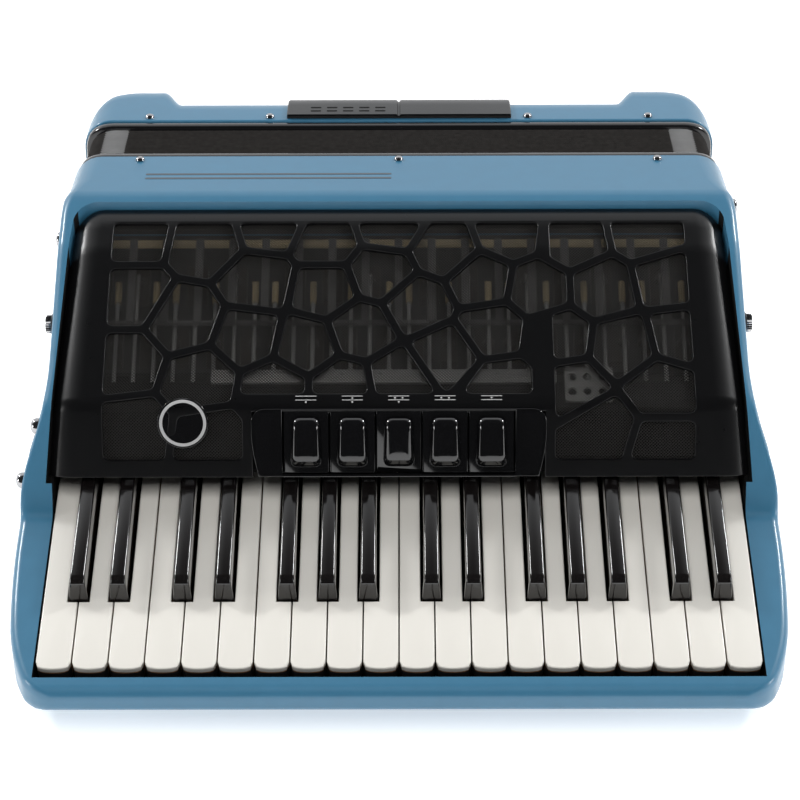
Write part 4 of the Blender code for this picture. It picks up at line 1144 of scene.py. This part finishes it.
def painted_bass_body():
    round_end = [CASE_HALF - 0.030 * (1 - sin(pi / 2 * k / 16)) for k in range(17)]
    horn = [HORN_X[0] + (HORN_X[1] - HORN_X[0]) * k / 10 for k in range(11)]
    half = sorted(set(round(x, 6) for x in round_end + horn + [0.0, 0.06, 0.1]))
    shape = Shape()
    shape.loft([bass_section(x) for x in [-x for x in reversed(half[1:])] + half])
    obj = shape.object("painted_bass_body", [PAINT])
    inner = CASE_HALF - WALL
    hollow = [(0.200, SKIN), (0.245, SKIN), (0.245, 0.150), (0.225, 0.176), (0.200, 0.176)]
    cut(obj, prism(hollow, -inner, inner, along_x))
    cut(obj, prism(rectangle((-0.060, 0.212), (0.060, 0.222)), 0.17, 0.20, along_z))
    cut(obj, prism(rectangle((-0.106, 0.014), (0.106, 0.084)), 0.24, 0.26, along_y))
    cut(obj, prism(disc(AIR_X, AIR_Z, 0.0058, 24), 0.24, 0.26, along_y))
    cut(obj, prism(rectangle((-0.20, 0.2325), (-0.165, 0.2395)), 0.094, 0.118, along_z))
    sharpen(obj)
    show(obj, "bass", "blue_paint", "bass_casing")


def bass_pads():
    """Two satin vent pads that follow the casing's round front edge; on one, black slabs are painted shade
    where its breathing slots are.
    """
    shape = Shape()
    steps = 14
    centre = (BASS_MID_Y - BASS_MID_R, FRONT_Z - BASS_MID_R)

    def section(x, thick):
        outer = arc(centre, BASS_MID_R + thick, 1, 0.1, steps)
        inner = arc(centre, BASS_MID_R + GAP, 1, 0.1, steps)[::-1]
        dish = [(0.2074, FRONT_Z + GAP), (0.2082, FRONT_Z + thick * 0.55), (0.2072, FRONT_Z + thick)]
        return [(x, y, z) for y, z in dish + outer + inner]

    for left, right in ((-0.0659, -0.0006), (0.0006, 0.0662)):
        ends = [(left, 0.0022), (left + 0.0003, 0.0027), (left + 0.0010, 0.0030)]
        ends += [(right - 0.0010, 0.0030), (right - 0.0003, 0.0027), (right, 0.0022)]
        shape.loft([section(x, thick) for x, thick in ends])
    web = [section(x, 0.0020) for x in (-0.0008, 0.0008)]
    shape.loft(web)
    # Painted shade: thin black slabs laid on the left pad stand for the dark holes of its breathing slots;
    # nothing is cut through.
    for row in range(2):
        for column in range(5):
            x, y = -0.052 + column * 0.0095, 0.2118 + row * 0.0046
            outline = rounded(rectangle((x, y - 0.0008), (x + 0.0062, y + 0.0008)), 0.0007, 3)
            shape.slab(outline, [(0, FRONT_Z + 0.0022), (0, FRONT_Z + 0.00306)], along_z, 1)
    show(shape.object("bass_vent_pads", [SATIN, LINING]), "bass", "black_satin_plastic", "bass_grille")


def button_places():
    wide, tall = BUTTON_PITCH
    middle = sum(PANEL_Z) / 2
    for row in range(BUTTON_ROWS):
        shift = (row - (BUTTON_ROWS - 1) / 2) * 0.0016
        for column in range(BUTTON_COLUMNS):
            yield ((column - (BUTTON_COLUMNS - 1) / 2) * wide + shift,
                   middle + (row - (BUTTON_ROWS - 1) / 2) * tall)


def facing_out(a, b, depth):
    return (-a, depth, b)


def bass_buttons():
    panel = Shape()
    outline = rounded(rectangle((-0.110, PANEL_Z[0]), (0.110, PANEL_Z[1])), 0.004, 5)
    holes = [disc(-x, z, BUTTON_R + 0.0008, 16) for x, z in button_places()]
    face = BASS_MID_Y + 0.0030
    panel.plate(outline, holes, [], 0.0027, 0.0005, lambda a, b, d: facing_out(a, b, face + d))
    show(panel.object("button_panel", [SATIN]), "bass", "black_satin_plastic", "bass_button_panel")
    buttons = Shape()
    for x, z in button_places():
        buttons.dome((x, 0.2405, z), (0, 1, 0), BUTTON_R, 0.0018, 0.0152, 0, 16, 4)
    carrier = rectangle((-0.103, 0.0165), (0.103, 0.0815))
    buttons.slab(carrier, [(0, 0.2385), (0, 0.2410)], along_y)
    show(buttons.object("bass_button_set", [BUTTON]), "bass_buttons", "button_plastic", "bass_buttons")
    air = Shape()
    air.dome((AIR_X, 0.2400, AIR_Z), (0, 1, 0), 0.0052, 0.0018, 0.0140, 0, 28, 5)
    show(air.object("air_button_shown", [BUTTON]), "air_button", "button_plastic", "air_button")


def bass_strap():
    """The leather hand strap, crowned across its width and stitched along both edges."""
    tab, end, steps = 0.112, 0.128, 40
    line = [(-end, 0.0)] + [(-tab * cos(pi * k / steps), STRAP_BOW * sin(pi * k / steps) ** 1.2)
                            for k in range(steps + 1)] + [(end, 0.0)]
    low, high = STRAP_Z
    middle, half = (low + high) / 2, (high - low) / 2

    def place(i, across, out):
        before, after = line[max(i - 1, 0)], line[min(i + 1, len(line) - 1)]
        along = Vector((after[0] - before[0], after[1] - before[1])).normalized()
        x, rise = line[i]
        return (x - along.y * out, BASS_MID_Y + GAP + rise + along.x * out, middle + across * half)

    shape = Shape()
    side = [(-1, 0.0004), (-0.97, 0.0), (0.97, 0.0), (1, 0.0004), (1, 0.0018), (0.97, 0.0024)]
    side += [(a, 0.0024 + 0.0006 * (1 - a * a)) for a in (0.9, 0.6, 0.3, 0, -0.3, -0.6, -0.9)]
    side += [(-0.97, 0.0024), (-1, 0.0018)]
    shape.loft([[place(i, a, out) for a, out in side] for i in range(len(line))])
    for i in range(2, len(line) - 2):
        for across in (-0.9, 0.9):
            a, b = Vector(place(i, across, 0.00265)), Vector(place(i + 1, across, 0.00265))
            for start in (0.05, 0.38, 0.71):
                shape.tube([a.lerp(b, start), a.lerp(b, start + 0.22)], 0.00032, 5, 1)
    for x in (-0.120, 0.120):
        for z in (0.106, 0.136):
            shape.dome((x, BASS_MID_Y + 0.0028, z), (0, 1, 0), 0.0042, 0.0014, 0.0002, 2, 20, 4)
    obj = shape.object("leather_hand_strap", [LEATHER, THREAD, CHROME])
    show(obj, "bass", "black_leather", "bass_strap")


def strap_wheel():
    """The knurled thumbwheel that draws the hand strap in."""
    x, y, z = WHEEL
    rim = []
    for k in range(96):
        radius = WHEEL_R - (0.0005 if k % 4 in (0, 3) else 0.0)
        rim.append((x + radius * cos(k * pi / 48), z + radius * sin(k * pi / 48)))
    shape = Shape()
    shape.slab(rim, both_edges(y - 0.0025, y + 0.0025, 0.0005, 2), along_y)
    show(shape.object("knurled_strap_wheel", [SATIN]), "strap_wheel", "black_satin_plastic", "strap_wheel")


# ---------------------------------------------------------------- fasteners
def knurled_knob(shape, x, y, z, side):
    """A knurled thumbscrew on a black washer, standing out of a side wall."""
    for radius, near, far, slot in ((0.0060, 0.0, 0.0012, 1), (0.0050, 0.0012, 0.0046, 0)):
        sides = 48
        rim = []
        for k in range(sides):
            r = radius - (0.0004 if slot == 0 and k % 2 else 0.0)
            rim.append((y + r * cos(2 * pi * k / sides), z + r * sin(2 * pi * k / sides)))
        low, high = sorted((x + side * near, x + side * far))
        shape.slab(rim, both_edges(low, high, 0.0004, 2), along_x, slot)


def fasteners():
    treble, bass = Shape(), Shape()
    for x in (-0.147, 0.0, 0.147):
        treble.dome((x, CASE_Y[1] - 0.0045, FRONT_Z - 0.0002), (0, 0, 1), *PIN)
    for x in (-0.147, -0.076, 0.076, 0.147):
        bass.dome((x, BASS_Y + 0.0048, FRONT_Z - 0.0002), (0, 0, 1), *PIN)
    for side in (-1, 1):
        for z in (0.030, 0.090, 0.150):
            treble.dome((side * CASE_HALF, CASE_Y[1] - 0.0050, z), (side, 0, 0), *PIN)
            bass.dome((side * (CASE_HALF - 0.0002), BASS_Y + 0.0048, z), (side, 0, 0), *PIN)
        z = rim_height(0.050) - 0.014
        knurled_knob(treble, side * wall_half(0.050, z), 0.050, z, side)
    for side, y in ((-1, 0.094), (1, 0.116)):
        z = rim_height(y) - 0.011
        treble.dome((side * (CASE_HALF - 0.0002), y, z), (side, 0, 0), 0.0045, 0.0022, 0.0008)
    for y in (0.000, -0.013):
        z = rim_height(y) - 0.016
        treble.dome((-wall_half(y, z) + 0.0008, y, z), (-1, 0, 0), 0.0045, 0.0035, 0.0015)
    show(treble.object("treble_fasteners", [CHROME, SATIN], 40), "treble", "bright_steel")
    show(bass.object("bass_fasteners", [CHROME], 40), "bass", "bright_steel")


# ---------------------------------------------------------------- stage, light and camera
def world():
    """A dim studio that is bright behind the instrument, up to a high edge."""
    sky = bpy.data.worlds.new("studio")
    bpy.context.scene.world = sky
    sky.use_nodes = True
    nodes, links = sky.node_tree.nodes, sky.node_tree.links
    place = nodes.new("ShaderNodeTexCoord")
    split = nodes.new("ShaderNodeSeparateXYZ")
    links.new(place.outputs["Generated"], split.inputs["Vector"])
    both = nodes.new("ShaderNodeMath")
    both.operation = "MULTIPLY"
    limits = (("Z", 0.85, 0.985, 1.0, 0.0), ("Y", -0.10, 0.50, 0.0, 1.0))
    for factor, (axis, start, end, low, high) in zip(both.inputs, limits):
        fade = nodes.new("ShaderNodeMapRange")
        fade.interpolation_type = "SMOOTHSTEP"
        set_values(fade, {"From Min": start, "From Max": end, "To Min": low, "To Max": high})
        links.new(split.outputs[axis], fade.inputs["Value"])
        links.new(fade.outputs["Result"], factor)
    level = nodes.new("ShaderNodeMapRange")
    set_values(level, {"To Min": 0.035, "To Max": 1.05})
    links.new(both.outputs["Value"], level.inputs["Value"])
    links.new(level.outputs["Result"], nodes["Background"].inputs["Strength"])
    nodes["Background"].inputs["Color"].default_value = (0.96, 0.98, 1.0, 1)


def lights():
    """Two softboxes high behind the instrument, one low at each side, and a broad one over the camera."""
    for place, size, energy in (((-1.70, 0.86, 1.50), 0.30, 20), ((1.70, 0.86, 1.50), 0.30, 20),
                                ((-1.80, -0.50, 0.40), 0.40, 6), ((1.80, -0.50, 0.40), 0.40, 6),
                                ((0.0, -1.9, 3.3), 2.4, 84)):
        lamp = bpy.data.lights.new("softbox", "AREA")
        lamp.shape, lamp.size = "SQUARE", size
        lamp.energy = energy
        obj = bpy.data.objects.new("softbox", lamp)
        bpy.context.scene.collection.objects.link(obj)
        obj.location = place
        obj.visible_glossy = size < 1
        obj.rotation_euler = (Vector((0, 0, 0.1)) - obj.location).to_track_quat("-Z", "Y").to_euler()


def floor():
    mesh = bpy.data.meshes.new("floor")
    mesh.from_pydata([(-6, -6, 0), (6, -6, 0), (6, 6, 0), (-6, 6, 0)], [], [(0, 1, 2, 3)])
    pale = finish("pale_floor", (0.93, 0.93, 0.93), 0.7, grain=(40, 0.0), vary=0.0, level=0.2)
    set_values(pale.node_tree.nodes["Principled BSDF"],
               {"Emission Color": (1, 1, 1, 1), "Emission Strength": 0.55})
    mesh.materials.append(pale)
    obj = bpy.data.objects.new("floor", mesh)
    obj.location.z = -0.0002
    bpy.context.scene.collection.objects.link(obj)


def camera():
    """The camera stands in front of the keyboard and looks down on it."""
    down, yaw, roll = radians(33.342), radians(-0.18), radians(-0.222)
    look = Vector((sin(yaw) * cos(down), cos(yaw) * cos(down), -sin(down)))
    right = Vector((cos(yaw), -sin(yaw), 0))
    up = right.cross(look)
    right, up = right * cos(roll) + up * sin(roll), up * cos(roll) - right * sin(roll)
    lens = bpy.data.cameras.new("camera")
    lens.sensor_width, lens.lens = 36, 97.55
    lens.shift_x, lens.shift_y = 0.00156, 0.0327
    obj = bpy.data.objects.new("camera", lens)
    bpy.context.scene.collection.objects.link(obj)
    obj.matrix_world = Matrix.Translation((0.00297, -1.0367, 0.7359)) @ Matrix(
        (right, up, -look)).transposed().to_4x4()
    bpy.context.scene.camera = obj
    bpy.context.scene.view_settings.view_transform = "Standard"


def dress_cad_nodes():
    """Finishes for the CAD pieces that stay; the soundboard's dark grey-brown is painted shade for the dim
    inside of the casing.
    """
    for node, mat in (("treble_soundboard", DARK_BOARD), ("treble_reed_block", PALE_WOOD),
                      ("bass_reed_block", PALE_WOOD)):
        mesh = frame["nodes"][node].data
        mesh.materials.clear()
        mesh.materials.append(mat)


camera()
world()
lights()
floor()
keyboard()
painted_treble_body()
front_strip_marks()
grille_cover()
grille_mesh()
register_housing()
for number in range(REGISTERS):
    register_switch(number)
register_marks()
cover_ring()
action_rails()
frame_ring("treble_bellows_frame", CASE_Y[1] + GAP, "treble", "bellows_frame_treble")
frame_ring("bass_bellows_frame", BASS_Y - GAP - FRAME_T, "bass", "bellows_frame_bass")
bellows()
bellows_corners()
bellows_strap("bellows_strap_top", -1)
bellows_strap("bellows_strap_bottom", 1)
painted_bass_body()
bass_pads()
bass_buttons()
bass_strap()
strap_wheel()
fasteners()
dress_cad_nodes()
